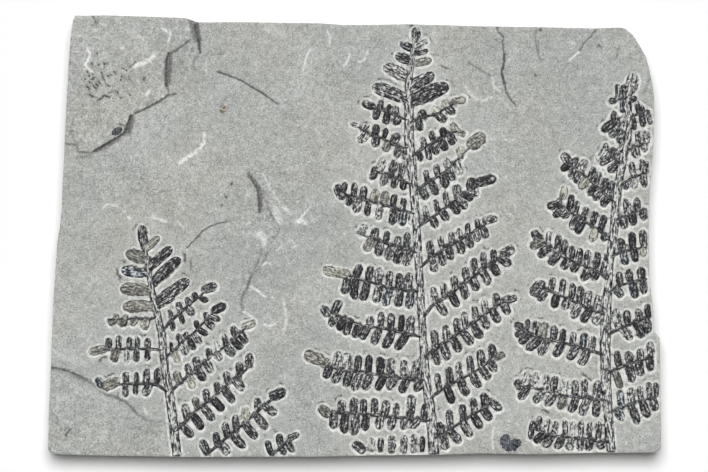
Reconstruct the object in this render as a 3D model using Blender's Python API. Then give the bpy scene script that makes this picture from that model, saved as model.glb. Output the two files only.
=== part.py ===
"""A fossil fern plate: a slab of shale with three fern fronds lying side by side on its upper face.

Frame: metres, +Z up. The slab lies flat, its fronds grow towards +Y, and the origin is at the middle of
its box, on the plane that it rests on. The slab is one solid. Each frond is one thin film of carbon: its
stem (rachis), its side branches (pinnae) and their leaflets (pinnules) are outlines drawn one over the
other, joined to a single outline and thickened.

The slab and the fronds are laid out on a drawing sheet, x to the right and y down, whose unit is about
half a millimetre: SHEET_UNIT turns it into metres.
"""

import math

import bmesh
import bpy
from mathutils.geometry import delaunay_2d_cdt

# Driving dimensions in metres
SLAB_LENGTH = 0.300
SLAB_THICKNESS = 0.016
FILM_THICKNESS = 0.0006
FILM_GAP = 0.0003

# Relief of the slab's upper face in metres
RAISED_BED_HEIGHT = 0.0012
LOWER_BED_DEPTH = 0.0010
LEDGE_HEIGHT = 0.0007

# Colours and roughness of the rock and of the films
SHALE_COLOUR = (0.42, 0.42, 0.40)
SHALE_ROUGHNESS = 0.9
CARBON_COLOUR = (0.06, 0.06, 0.065)
CARBON_ROUGHNESS = 0.6

# The drawing sheet: the slab's length on it, and the point above the origin
SLAB_LENGTH_ON_SHEET = 613.5
SHEET_CENTRE = (354.25, 236.25)
SHEET_UNIT = SLAB_LENGTH / SLAB_LENGTH_ON_SHEET

# Proportions of the fern, in sheet units
LEAFLET_WIDTH = 7.5
SPINE_WIDTH_AT_STEM = 4.0
SPINE_WIDTH_AT_TIP = 2.6
FOOT_OVERLAP = 0.7
END_LOBE_SIDES = 7

# A leaflet takes up no more of its box than these shares of the box's width and height
BOX_SHARES = (0.95, 0.9)

# A blade's foot as a share of its width, for a leaflet and for a lobe
LEAFLET_FOOT_SHARE = 0.6
LOBE_FOOT_SHARE = 0.8

# A blade shorter than this has a blunt tip: how far its shoulders stand back from the tip, and how wide the
# tip is, as shares of the blade's width. A longer one comes to a point beyond its shoulders
POINTED_LENGTH = 22.0
BLUNT_SHOULDER = 0.1
BLUNT_TIP_SHARE = 0.8
POINTED_SHOULDER = 0.38

# Joining the outlines, in sheet units: points nearer than this are one, and a corner of less area is left out
MERGE_DISTANCE = 0.02
SMALLEST_CORNER = 2.3

# The slab's side, from the sole up: height in metres, and how far the rock stands back there, in sheet
# units, with how much that varies along the edge
SLAB_SIDE = [(0.0000, 5.0, 2.0), (0.0024, 2.0, 1.0), (0.0085, 1.0, 0.6), (0.0152, 0.0, 0.0),
             (0.0160, 1.0, 0.2)]

# That variation is the sum of two waves: their steps per corner of the outline, their shift per unit of
# stand-back and their shares
SIDE_WAVES = [(1.9, 1.0, 0.6), (0.7, 4.0, 0.4)]

# The slab's outline, clockwise on the sheet from its upper left corner
SLAB_OUTLINE = [
    (75, 15.5), (110, 15.2), (150, 16.5), (187, 18), (197, 22), (240, 22), (320, 23), (345, 25), (410, 24),
    (480, 26), (560, 27.3), (598, 28), (621, 27.4), (626, 28.7), (633.6, 35.3), (640, 46), (646, 56.5),
    (649, 68), (652.5, 84), (654.3, 95), (654.8, 113), (653, 153), (649.7, 192), (648.6, 235),
    (649.7, 281), (653, 304), (654, 331), (660, 337.6), (660.5, 371), (661, 417), (661, 447), (660, 451),
    (655, 453), (600, 453), (540, 454.5), (480, 453.8), (445, 455), (390, 455.6), (345, 456.4),
    (310, 457), (240, 457.2), (190, 457.3), (150, 456.6), (105, 456), (60, 454.8), (50, 453), (47.5, 449),
    (48.5, 417), (50.3, 371), (50.8, 364), (53, 304), (57, 243), (60, 225), (61.8, 200), (64.2, 148),
    (64.5, 140), (67, 92), (69.6, 51), (70.6, 36), (73, 20)]

# The lip of the raised bed in the upper left, from the upper edge round to the left edge
RAISED_LIP = [(190, 25), (190.4, 35), (186, 41), (177, 48), (169, 53), (166, 58), (165.4, 85), (167, 93),
              (161, 100), (142, 109), (131, 116), (129, 126), (123, 133), (108, 142), (93, 149), (79, 149)]
RAISED_FOOT = [(193.5, 27), (193.4, 37), (188, 43.5), (179, 50.5), (171.5, 55.5), (169, 60), (168.4, 84),
               (170.5, 94), (163, 103), (143.5, 112), (134, 118), (132, 128), (125, 136), (109, 145),
               (94, 152), (78, 152)]

# The upper and lower edges of the step down to the lower bed, from the left edge to where it fades out
LOWER_LIP = [(65, 369), (83, 377), (95, 385), (113, 395), (126, 404), (138, 414), (156, 421)]
LOWER_FOOT = [(64, 372.5), (81.5, 380), (93.5, 388), (111, 398.5), (123.5, 407.5), (136, 417.5), (148, 425)]

# The ledge left of the middle: its crest, the foot that it drops to, and the line where its back runs out
LEDGE_CREST = [(255, 185), (258.5, 199), (260, 214), (269, 217), (275, 223)]
LEDGE_FOOT = [(257.5, 184), (261.5, 198), (263, 211), (271, 214), (278, 221)]
LEDGE_BACK = [(248, 172), (235, 190), (232, 212), (240, 234), (262, 244), (281, 229)]

# Where the beds meet the slab's outline: the raised bed's right and lower ends, the lower bed's right and
# upper ends, and the right end of the part of the lower edge where that bed runs out
RAISED_BED_ENDS = (187.5, 141)
LOWER_BED_ENDS = (106, 370)
LOWER_BED_FADE_ENDS = (151, 456)

# Scraps of other plants on the slab: corner points on the sheet
LOWER_SCRAP_OUTLINE = [(499.5, 440), (504, 434), (510, 433), (513, 438), (518, 437), (521.5, 442),
                       (517, 448), (512, 451), (504, 450.5), (500, 446)]
OVAL_SCRAP_OUTLINE = [(111.5, 133.5), (113, 129.5), (117, 127), (121, 127), (122.5, 130), (120, 134),
                      (115, 136)]

# The fronds. A stem is a list of points with the stem's width. A lobe, near a frond's tip, is its foot, its
# tip and its width. A branch is its spine from the stem outwards, the boxes of its end lobes, and the
# boxes of the leaflets above and below the spine. A box is left, right, top, bottom; with left and right
# swapped, its leaflet leans the other way.

LEFT_STEM = [(143, 238, 4), (144.5, 246, 4), (146.5, 258, 5), (148.5, 272, 5), (151, 285, 6),
             (154.3, 303, 7), (158, 317, 7), (162, 335, 8), (165, 370, 8), (169, 390, 9), (173, 420, 9),
             (177, 455, 9)]
LEFT_LOBES = [(144, 246, 141.8, 224.8, 10), (147, 259, 125.5, 252.5, 13), (148, 273, 121, 269.5, 11),
              (150, 291, 119.8, 289, 13), (153, 306.5, 122.3, 307, 12), (145.5, 250, 159.5, 236.5, 8),
              (147.5, 269.5, 172, 247, 10), (152, 284.5, 180.5, 258, 11), (156, 302, 189, 279.5, 12),
              (157, 308, 174.5, 297.5, 5)]
LEFT_LEFT_BRANCHES = [
    ([(158, 316), (150, 319), (122, 319), (108, 320)], [],
     [(112, 119, 313, 320), (121, 128, 313, 319)],
     [(109, 119, 320, 328), (120, 129, 319, 328), (131, 140, 320, 328), (141, 150, 320, 330)]),
    ([(163, 350), (150, 349), (107, 349)], [(89, 107, 345, 356)],
     [(105, 112, 338, 348), (116, 122, 336, 348), (126, 132, 337, 348), (134, 140, 337, 348),
      (144, 151, 338, 350)],
     [(111, 121, 350, 362), (124, 130, 350, 363), (133, 140, 350, 362), (144, 151, 350, 361)]),
    ([(168, 392), (158, 385), (142, 384), (127, 384), (110, 385)],
     [(95, 104, 377, 388), (102, 120, 377, 391)],
     [(122, 129, 372, 383), (134, 139, 372, 382), (143, 150, 369, 382), (154, 161, 368, 384)],
     [(122, 129, 386, 397), (133, 139, 386, 395), (142, 154, 385, 397)]),
]
LEFT_RIGHT_BRANCHES = [
    ([(162, 332), (170, 322), (180, 313), (190, 304), (200, 296)], [(201, 217, 282, 294)],
     [(167, 172, 310, 320), (175, 182, 302, 312), (184, 191, 297, 307), (192, 198, 292, 301)],
     [(170, 176, 320, 331), (180, 186, 314, 324), (186, 195, 307, 316), (199, 208, 297, 304)]),
    ([(166, 357), (175, 350), (185, 339), (193, 334), (202, 324), (211, 315)], [(211, 226, 302, 314)],
     [(169, 173, 342, 354), (175, 181, 334, 344), (183, 189, 332, 341), (193, 199, 320, 330),
      (202, 208, 312, 320)],
     [(174, 182, 352, 362), (182, 190, 345, 355), (190, 197, 342, 350), (195, 202, 337, 344),
      (200, 208, 330, 337), (207, 215, 322, 330), (209, 220, 316, 323)]),
    ([(169, 394), (179, 383), (195, 371), (211, 356), (230, 343), (241, 332)], [(241, 256, 320, 330)],
     [(172, 181, 371, 383), (183, 190, 364, 374), (192, 200, 357, 371), (205, 212, 348, 360),
      (213, 219, 341, 350), (221, 227, 334, 345), (229, 237, 326, 338)],
     [(189, 197, 377, 388), (199, 208, 371, 381), (206, 215, 362, 373), (214, 222, 353, 361),
      (226, 235, 348, 357), (234, 243, 341, 350), (241, 249, 334, 343)]),
    ([(174, 433), (186, 421), (201, 406), (211, 399), (228, 384), (244, 372), (252, 363)], [],
     [(181, 189, 404, 422), (191, 198, 397, 409), (202, 210, 389, 404), (213, 220, 382, 394),
      (222, 230, 372, 385), (235, 243, 362, 379), (245, 254, 354, 371)],
     [(181, 194, 424, 438), (194, 205, 416, 430), (203, 215, 408, 421), (213, 225, 400, 412),
      (224, 236, 390, 403), (234, 245, 380, 391)]),
]
LEFT_LOWER_BRANCHES = [
    ([(205, 455), (216, 447), (226, 438), (247, 421), (265, 405), (275, 397)], [(269, 286, 387, 401)],
     [(199, 210, 440, 455), (212, 220, 432, 447), (221, 229, 422, 438), (232, 240, 415, 433),
      (241, 250, 407, 424), (254, 262, 398, 416)],
     [(221, 231, 444, 455), (232, 246, 435, 449), (246, 258, 426, 439), (257, 269, 416, 430),
      (262, 277, 404, 416)]),
    ([(272, 455), (281, 447), (291, 438)], [(287, 299, 432, 441)],
     [(264, 271, 441, 455), (275, 283, 434, 448)],
     [(279, 287, 447, 455), (289, 296, 444, 452)]),
]
MIDDLE_STEM = [(415.5, 38, 4), (413.5, 50, 5), (411.5, 61, 6), (410, 70, 7), (408.5, 84, 7), (409, 100, 9),
               (409.2, 120, 9.5), (409, 140, 10), (412.5, 175, 9), (416, 220, 8), (420, 285, 8),
               (423, 340, 8), (426, 380, 9), (431, 415, 10), (434, 453, 11)]
MIDDLE_LOBES = [(415.5, 39, 415.8, 27, 9.5), (414, 50, 400.2, 42.5, 8.5), (412.5, 61, 395.2, 55, 10),
                (409, 79, 383.5, 65.5, 13), (408, 99.5, 372, 86, 13.5), (413.5, 48.5, 428, 40.5, 6.5),
                (413.5, 54.5, 428.5, 50, 5), (411.5, 64, 432, 60, 8), (409, 89, 434.5, 74, 12.5),
                (409, 103, 449, 85.5, 15)]
MIDDLE_LEFT_BRANCHES = [
    ([(408, 120), (400, 117), (390, 113), (376, 108)], [(362, 376, 100, 110)],
     [(378, 385, 100, 110), (387, 392, 104, 112), (393, 400, 106, 116)],
     [(372, 380, 111, 120), (382, 390, 113, 124), (393, 402, 117, 126)]),
    ([(408, 148), (400, 147), (391, 143), (382, 138), (370, 135)], [(351, 360, 122, 128)],
     [(362, 370, 121, 129), (372, 380, 124, 134), (383, 389, 128, 137), (390, 400, 132, 142)],
     [(358, 370, 131, 143), (371, 380, 136, 147), (382, 392, 140, 152), (393, 401, 147, 158),
      (402, 408, 150, 160)]),
    ([(413, 184), (408, 183), (395, 178), (375, 170)], [(369, 379, 166, 180)],
     [(378, 387, 158, 168), (390, 398, 160, 173), (399, 406, 163, 177)],
     [(379, 387, 176, 186), (390, 398, 178, 188), (399, 407, 181, 190)]),
    ([(416, 214), (400, 210), (385, 205), (370, 201), (355, 198), (344, 194)], [(334, 346, 184, 200)],
     [(342, 348, 182, 193), (351, 358, 183, 198), (360, 368, 186, 199), (370, 380, 189, 201),
      (381, 390, 191, 204), (391, 398, 194, 207), (400, 407, 198, 210)],
     [(345, 352, 198, 206), (352, 361, 201, 213), (364, 371, 204, 216), (375, 382, 206, 220),
      (388, 397, 209, 225), (398, 407, 211, 226), (408, 413, 214, 225)]),
    ([(418, 253), (400, 247), (385, 243), (370, 238), (357, 232)], [],
     [(360, 368, 224, 234), (371, 380, 228, 239), (384, 391, 231, 242), (394, 402, 236, 247),
      (404, 412, 233, 249)],
     [(363, 374, 240, 252), (374, 383, 245, 256), (384, 394, 248, 260), (393, 403, 250, 264),
      (402, 413, 252, 266)]),
    ([(419, 291), (390, 288), (370, 282), (350, 277)], [(323, 350, 266, 278)],
     [(352, 363, 264, 278), (366, 374, 266, 281), (375, 384, 268, 284), (386, 394, 271, 287),
      (395, 403, 273, 288), (403, 413, 273, 290)],
     [(340, 350, 278, 294), (350, 359, 280, 299), (359, 371, 281, 301), (372, 382, 286, 303),
      (382, 393, 290, 306), (394, 404, 291, 307), (405, 415, 292, 309)]),
    ([(422, 337), (410, 334), (395, 331), (381, 328), (362, 326), (341, 317), (331, 311)],
     [(320, 331, 305, 317)],
     [(333, 343, 300, 312), (366, 375, 316, 328), (378, 385, 312, 328), (387, 395, 313, 330),
      (398, 405, 315, 331), (407, 416, 316, 333)],
     [(327, 336, 315, 326), (336, 346, 320, 331), (342, 351, 324, 335), (351, 360, 326, 338),
      (360, 372, 329, 341), (371, 383, 331, 345), (382, 396, 333, 349), (394, 410, 335, 351)]),
    ([(425, 380), (400, 378), (380, 375), (350, 371), (325, 366)],
     [(304, 324, 350, 365), (320, 331, 358, 368)],
     [(332, 342, 352, 368), (343, 352, 353, 369), (354, 362, 355, 371), (365, 373, 355, 373),
      (376, 385, 357, 374), (387, 396, 358, 376), (400, 408, 360, 377), (410, 421, 360, 379)],
     [(323, 333, 368, 379), (332, 345, 369, 384), (343, 354, 372, 387), (351, 364, 374, 391),
      (362, 374, 376, 391), (375, 388, 377, 391), (387, 400, 379, 391), (399, 412, 380, 394),
      (414, 426, 382, 393)]),
    ([(431, 421), (405, 418), (390, 417), (360, 414), (330, 412)], [(318, 331, 405, 418)],
     [(337, 346, 400, 412), (349, 358, 398, 413), (360, 368, 399, 413), (370, 378, 398, 415),
      (380, 390, 400, 416), (393, 400, 403, 416), (406, 416, 395, 418), (420, 430, 403, 421)],
     [(329, 338, 413, 429), (340, 350, 414, 433), (350, 360, 415, 435), (361, 370, 416, 431),
      (375, 384, 417, 429), (387, 397, 418, 430), (400, 408, 419, 430), (410, 422, 421, 431)]),
    ([(432, 452), (400, 451.5), (366, 450)], [(352, 366, 441, 454)],
     [(369, 375, 438, 450), (377, 384, 438, 452), (388, 396, 436, 453), (400, 408, 436, 453),
      (410, 417, 434, 453), (419, 425, 436, 453)],
     []),
]
MIDDLE_RIGHT_BRANCHES = [
    ([(409, 123), (420, 118), (435, 114), (450, 106)], [(450, 466, 96, 106)],
     [(442, 451, 99, 108), (431, 443, 106, 114), (419, 428, 109, 118)],
     [(445, 455, 107, 116), (435, 446, 114, 124), (416, 424, 118, 131)]),
    ([(411, 157), (425, 147), (435, 142), (445, 136), (456, 131)], [(456, 466, 129, 137)],
     [(419, 426, 137, 149), (428, 435, 131, 142), (439, 447, 127, 139), (450, 459, 122, 131)],
     [(417, 424, 151, 161), (426, 433, 147, 160), (432, 440, 144, 155), (440, 449, 140, 151),
      (448, 457, 135, 145)]),
    ([(414, 193), (425, 184), (435, 178), (445, 172), (455, 162), (465, 152)], [(467, 486, 132, 150)],
     [(423, 429, 170, 184), (433, 440, 164, 178), (443, 451, 158, 171), (456, 466, 146, 160)],
     [(420, 430, 187, 200), (430, 440, 182, 195), (440, 450, 174, 188), (449, 457, 168, 181),
      (456, 464, 161, 175)]),
    ([(416, 228), (430, 219), (440, 212), (450, 204), (460, 196), (475, 188)], [(475, 496, 174, 187)],
     [(422, 428, 206, 222), (433, 439, 199, 213), (442, 448, 192, 206), (461, 452, 184, 200),
      (474, 463, 177, 190)],
     [(431, 440, 217, 228), (440, 450, 210, 221), (450, 461, 204, 215), (457, 468, 199, 210),
      (462, 473, 194, 203), (466, 479, 188, 197)]),
    ([(419, 269), (429, 259), (449, 246), (459, 241), (468, 235), (482, 227)], [(482, 497, 215, 225)],
     [(425, 433, 241, 258), (437, 444, 236, 250), (448, 455, 232, 247), (456, 462, 228, 242),
      (465, 471, 223, 237), (474, 480, 219, 231)],
     [(430, 439, 258, 272), (439, 447, 252, 266), (447, 456, 247, 260), (457, 466, 242, 254),
      (467, 475, 236, 248), (474, 482, 231, 242), (482, 490, 227, 238)]),
    ([(421, 320), (432, 306), (450, 294), (467, 281), (482, 269), (500, 258)], [(500, 515, 245, 258)],
     [(430, 437, 287, 305), (440, 447, 283, 299), (450, 458, 276, 292), (461, 469, 267, 283),
      (470, 478, 258, 277), (480, 487, 252, 270), (490, 497, 249, 264)],
     [(437, 448, 304, 316), (450, 461, 293, 307), (461, 470, 284, 299), (471, 481, 277, 291),
      (481, 492, 270, 285), (490, 501, 264, 276), (500, 511, 258, 268)]),
    ([(423, 359), (430, 352), (450, 339), (470, 325), (490, 311), (501, 303)], [(501, 517, 294, 305)],
     [(430, 438, 330, 350), (442, 450, 325, 344), (453, 460, 318, 337), (461, 468, 312, 331),
      (471, 478, 306, 323), (481, 488, 299, 316), (492, 500, 293, 309)],
     [(433, 442, 352, 365), (442, 452, 346, 360), (453, 463, 339, 352), (462, 474, 333, 346),
      (471, 484, 323, 339), (481, 491, 317, 329), (491, 502, 310, 323), (501, 511, 304, 315)]),
    ([(427, 401), (439, 391), (455, 382), (476, 371), (493, 359)], [(493, 505, 351, 361)],
     [(434, 441, 373, 391), (444, 452, 367, 384), (455, 462, 362, 379), (465, 473, 356, 373),
      (476, 485, 350, 369), (487, 496, 344, 361)],
     [(445, 456, 388, 404), (459, 470, 382, 396), (471, 482, 375, 388), (480, 491, 368, 380),
      (488, 498, 361, 372)]),
    ([(432, 440), (440, 436), (449, 431), (458, 424), (469, 417), (479, 411), (493, 401)], [],
     [(435, 444, 422, 437), (445, 453, 410, 430), (458, 466, 404, 423), (469, 477, 398, 416),
      (480, 489, 393, 410)],
     [(441, 450, 436, 450), (450, 462, 431, 444), (461, 473, 422, 437), (471, 483, 415, 429),
      (481, 493, 408, 421), (490, 502, 401, 412)]),
]
RIGHT_STEM = [(631, 88, 4), (628, 98, 6), (627, 107, 8), (629.5, 116, 6), (629, 127, 6), (628, 138, 7),
              (625, 149, 8), (621.7, 167, 8), (618, 185, 8), (616.5, 200, 9), (614, 230, 9), (610, 260, 8),
              (608, 290, 8), (606, 320, 10), (605, 345, 11), (606, 380, 10), (608, 410, 9), (611, 451, 9)]
RIGHT_LOBES = [(630.5, 91, 634.5, 73, 13), (625, 98, 622.3, 85, 5.5), (628, 98, 632, 87.5, 5),
               (628, 102, 637, 97, 6.5)]
RIGHT_LEFT_BRANCHES = [
    ([(628, 98), (618, 99), (611, 101)], [],
     [(614, 620, 84, 97), (621, 626, 85, 95)],
     [(609, 618, 97, 105), (620, 626, 101, 113), (625, 632, 103, 116)]),
    ([(628, 137), (620, 128), (613, 121)], [],
     [(611, 618, 111, 121), (617, 621, 117, 127), (621, 627, 116, 129)],
     [(601, 614, 121, 133), (608, 618, 128, 138), (615, 624, 133, 143)]),
    ([(621, 164), (613, 156), (604, 148)], [],
     [(603, 609, 143, 151), (610, 616, 147, 158), (621, 628, 142, 155)],
     [(595, 601, 153, 161), (600, 609, 151, 160), (600, 611, 160, 167), (607, 620, 161, 173)]),
    ([(616, 203), (604, 193), (592, 182), (580, 172), (569, 163)], [(561, 573, 152, 166)],
     [(573, 580, 157, 165), (580, 589, 160, 171), (590, 597, 167, 178), (596, 603, 172, 184),
      (603, 610, 178, 191), (609, 615, 181, 197)],
     [(561, 570, 165, 173), (567, 575, 168, 179), (573, 582, 174, 184), (578, 589, 179, 190),
      (586, 593, 187, 196), (592, 602, 190, 201), (600, 610, 197, 207)]),
    ([(613, 243), (600, 231), (583, 220), (566, 210), (560, 203)], [(559, 568, 186, 200)],
     [(568, 575, 195, 209), (574, 581, 201, 213), (583, 590, 207, 219), (592, 599, 211, 225),
      (600, 608, 215, 230)],
     [(547, 559, 200, 210), (553, 562, 209, 218), (561, 571, 211, 220), (568, 577, 219, 230),
      (574, 585, 221, 234), (588, 598, 229, 242), (600, 608, 232, 241)]),
    ([(609, 281), (600, 273), (585, 266), (568, 259), (552, 248), (543, 241)], [(531, 543, 230, 242)],
     [(546, 552, 231, 246), (555, 562, 235, 252), (562, 569, 240, 256), (569, 576, 246, 260),
      (577, 584, 248, 263), (585, 592, 250, 267), (594, 601, 252, 270), (605, 612, 253, 270)],
     [(530, 544, 241, 251), (538, 550, 248, 259), (548, 560, 255, 266), (560, 570, 259, 270),
      (570, 581, 262, 273), (580, 591, 268, 281), (590, 600, 270, 281)]),
    ([(607, 316), (592, 309), (570, 300), (550, 291), (540, 288)], [(530, 546, 280, 297)],
     [(549, 556, 278, 292), (560, 567, 279, 295), (569, 576, 283, 300), (577, 585, 286, 303),
      (585, 593, 291, 306), (594, 602, 295, 311)],
     [(537, 549, 290, 302), (550, 559, 295, 308), (561, 571, 298, 310), (570, 582, 304, 319),
      (580, 594, 307, 323), (592, 605, 311, 325)]),
    ([(606, 355), (588, 350), (565, 343), (540, 338), (525, 331)], [(514, 527, 322, 333)],
     [(525, 531, 319, 331), (533, 540, 321, 334), (541, 549, 322, 337), (550, 558, 326, 340),
      (560, 567, 329, 341), (570, 577, 332, 344), (580, 588, 333, 349), (589, 597, 336, 351)],
     [(515, 526, 331, 339), (519, 532, 335, 346), (526, 544, 338, 352), (538, 551, 342, 356),
      (553, 566, 344, 358), (567, 580, 347, 361), (578, 591, 351, 366)]),
    ([(607, 400), (592, 399), (568, 396), (545, 391), (524, 385)], [(514, 525, 379, 391)],
     [(521, 531, 372, 385), (533, 540, 373, 388), (544, 550, 375, 390), (551, 559, 376, 392),
      (561, 569, 379, 394), (571, 579, 380, 396), (581, 588, 379, 397), (592, 602, 381, 399)],
     [(518, 531, 389, 401), (533, 546, 391, 404), (545, 558, 394, 407), (557, 568, 397, 410),
      (568, 580, 398, 413), (579, 592, 400, 416), (592, 601, 400, 417)]),
    ([(611, 443), (585, 439), (556, 436), (545, 433), (533, 428)], [(528, 536, 421, 439)],
     [(536, 543, 416, 430), (545, 551, 419, 432), (552, 559, 421, 435), (562, 568, 420, 436),
      (570, 576, 421, 437), (578, 584, 421, 438), (587, 593, 422, 438), (595, 602, 422, 440),
      (605, 611, 420, 440)],
     [(534, 548, 434, 445), (543, 556, 437, 449), (555, 567, 438, 450), (566, 576, 440, 451),
      (576, 584, 440, 451), (585, 594, 441, 451), (598, 608, 442, 451)]),
]
RIGHT_RIGHT_BRANCHES = [
    ([(629, 118), (640, 113), (648, 110)], [],
     [(634, 640, 101, 113), (639, 646, 106, 118)],
     [(631, 638, 118, 130), (640, 647, 116, 127), (648, 653, 114, 125)]),
    ([(625, 152), (635, 147), (649, 142)], [],
     [(635, 641, 131, 146), (642, 650, 131, 144)],
     [(631, 641, 145, 158), (641, 648, 143, 152)]),
    ([(618, 187), (634, 177), (648, 172)], [],
     [(628, 635, 162, 176), (638, 645, 159, 174), (645, 649, 161, 172)],
     [(622, 629, 178, 190), (630, 638, 177, 189), (640, 648, 173, 187)]),
    ([(615, 221), (628, 215), (637, 211), (647, 209)], [],
     [(622, 630, 199, 216), (633, 641, 198, 212)],
     [(620, 629, 217, 229), (629, 638, 212, 225), (639, 648, 208, 220)]),
    ([(611, 256), (624, 251), (646, 247)], [],
     [(616, 625, 238, 252), (628, 636, 232, 250), (639, 647, 230, 247)],
     [(620, 630, 251, 265), (631, 639, 249, 262), (640, 647, 246, 257)]),
    ([(608, 293), (618, 286), (632, 282), (647, 279)], [],
     [(615, 623, 272, 286), (625, 633, 269, 283), (637, 646, 267, 281)],
     [(613, 624, 286, 298), (629, 639, 283, 298), (640, 648, 280, 294)]),
    ([(607, 335), (620, 328), (640, 320), (651, 317)], [],
     [(611, 620, 309, 327), (623, 631, 310, 326), (634, 642, 309, 321), (644, 651, 304, 318)],
     [(619, 633, 327, 341), (633, 645, 323, 338), (643, 652, 318, 333)]),
    ([(607, 374), (620, 367), (635, 362), (653, 356)], [],
     [(613, 621, 351, 368), (624, 633, 351, 366), (636, 644, 349, 363), (646, 654, 342, 358)],
     [(616, 624, 376, 388), (626, 636, 364, 382), (635, 645, 360, 376), (646, 655, 356, 371)]),
    ([(608, 413), (625, 406), (640, 401), (658, 396)], [],
     [(616, 624, 390, 407), (627, 635, 388, 404), (637, 644, 386, 402), (645, 652, 382, 400),
      (653, 659, 383, 398)],
     [(614, 625, 408, 421), (628, 641, 405, 424), (639, 651, 402, 418), (649, 659, 398, 411)]),
]


def above_origin(x, y):
    """Sheet point to the model's X and Y in metres."""
    return ((x - SHEET_CENTRE[0]) * SHEET_UNIT, (SHEET_CENTRE[1] - y) * SHEET_UNIT)


def unit_vector(start, end):
    length = math.dist(start, end)
    return ((end[0] - start[0]) / length, (end[1] - start[1]) / length)


def beside(point, direction, distance):
    """The point at a distance to the right of a direction, as seen on the sheet."""
    return (point[0] - direction[1] * distance, point[1] + direction[0] * distance)


def strip(points, widths):
    """Outline of a band of changing width along a line of points."""
    right, left = [], []
    for index, point in enumerate(points):
        before = points[max(index - 1, 0)]
        after = points[min(index + 1, len(points) - 1)]
        direction = unit_vector(before, after)
        right.append(beside(point, direction, widths[index] / 2))
        left.append(beside(point, direction, -widths[index] / 2))
    return right + left[::-1]


def blade(foot, tip, width, foot_share):
    """Outline of a leaflet or lobe with a blunt tip, narrower at its foot."""
    direction = unit_vector(foot, tip)
    half_foot = width * foot_share / 2
    if math.dist(foot, tip) < POINTED_LENGTH:
        back = width * BLUNT_SHOULDER
        shoulder = (tip[0] - direction[0] * back, tip[1] - direction[1] * back)
        half_tip = width * BLUNT_TIP_SHARE / 2
        return [beside(foot, direction, -half_foot), beside(foot, direction, half_foot),
                beside(shoulder, direction, half_tip), beside(shoulder, direction, -half_tip)]
    back = width * POINTED_SHOULDER
    shoulder = (tip[0] - direction[0] * back, tip[1] - direction[1] * back)
    return [beside(foot, direction, -half_foot), beside(foot, direction, half_foot),
            beside(shoulder, direction, width / 2), tip, beside(shoulder, direction, -width / 2)]


def oval(box):
    """Outline of an end lobe that fills its box."""
    left, right, top, bottom = box
    outline = []
    for corner in range(END_LOBE_SIDES):
        angle = 2 * math.pi * corner / END_LOBE_SIDES
        outline.append(((left + right) / 2 + (right - left) / 2 * math.cos(angle),
                        (top + bottom) / 2 + (bottom - top) / 2 * math.sin(angle)))
    return outline


def nearest_on_line(point, line):
    """The point of a line of points that lies nearest to a given point."""
    best = line[0]
    for start, end in zip(line, line[1:]):
        run = (end[0] - start[0], end[1] - start[1])
        along = (point[0] - start[0]) * run[0] + (point[1] - start[1]) * run[1]
        share = min(max(along / (run[0] ** 2 + run[1] ** 2), 0.0), 1.0)
        candidate = (start[0] + run[0] * share, start[1] + run[1] * share)
        if math.dist(point, candidate) < math.dist(point, best):
            best = candidate
    return best


def leaflet(box, spine, leans_right):
    """Outline of a leaflet: it crosses its box from corner to corner, and its foot is on the spine."""
    left, right, top, bottom = box
    if left > right:
        left, right = right, left
        leans_right = not leans_right
    half = min(LEAFLET_WIDTH, BOX_SHARES[0] * (right - left), BOX_SHARES[1] * (bottom - top)) / 2
    ends = [(right - half, top + half), (left + half, bottom - half)]
    if not leans_right:
        ends = [(left + half, top + half), (right - half, bottom - half)]
    ends.sort(key=lambda end: math.dist(end, nearest_on_line(end, spine)))
    near_end, far_end = ends
    direction = unit_vector(near_end, far_end)
    tip = (far_end[0] + direction[0] * half, far_end[1] + direction[1] * half)
    foot = nearest_on_line(near_end, spine)
    if math.dist(foot, near_end) > FOOT_OVERLAP:
        outwards = unit_vector(foot, near_end)
        foot = (foot[0] + outwards[0] * FOOT_OVERLAP, foot[1] + outwards[1] * FOOT_OVERLAP)
    return blade(foot, tip, 2 * half, LEAFLET_FOOT_SHARE)


def branch(spine, end_lobes, above, below, leans_right):
    """Outlines of one side branch: its spine, its end lobes and its leaflets."""
    line = list(spine)
    if end_lobes:
        left, right, top, bottom = end_lobes[-1]
        line.append(((left + right) / 2, (top + bottom) / 2))
    taper = (SPINE_WIDTH_AT_TIP - SPINE_WIDTH_AT_STEM) / (len(line) - 1)
    outlines = [strip(line, [SPINE_WIDTH_AT_STEM + taper * index for index in range(len(line))])]
    outlines += [oval(box) for box in end_lobes]
    outlines += [leaflet(box, line, leans_right) for box in above + below]
    return outlines


def frond(stem, lobes, left_branches, right_branches):
    """Outlines of a whole frond. The leaflets of its left branches lean right, and the other way round."""
    outlines = [strip([point[:2] for point in stem], [point[2] for point in stem])]
    outlines += [blade(lobe[:2], lobe[2:4], lobe[4], LOBE_FOOT_SHARE) for lobe in lobes]
    for spine, end_lobes, above, below in left_branches:
        outlines += branch(spine, end_lobes, above, below, True)
    for spine, end_lobes, above, below in right_branches:
        outlines += branch(spine, end_lobes, above, below, False)
    return outlines


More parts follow.
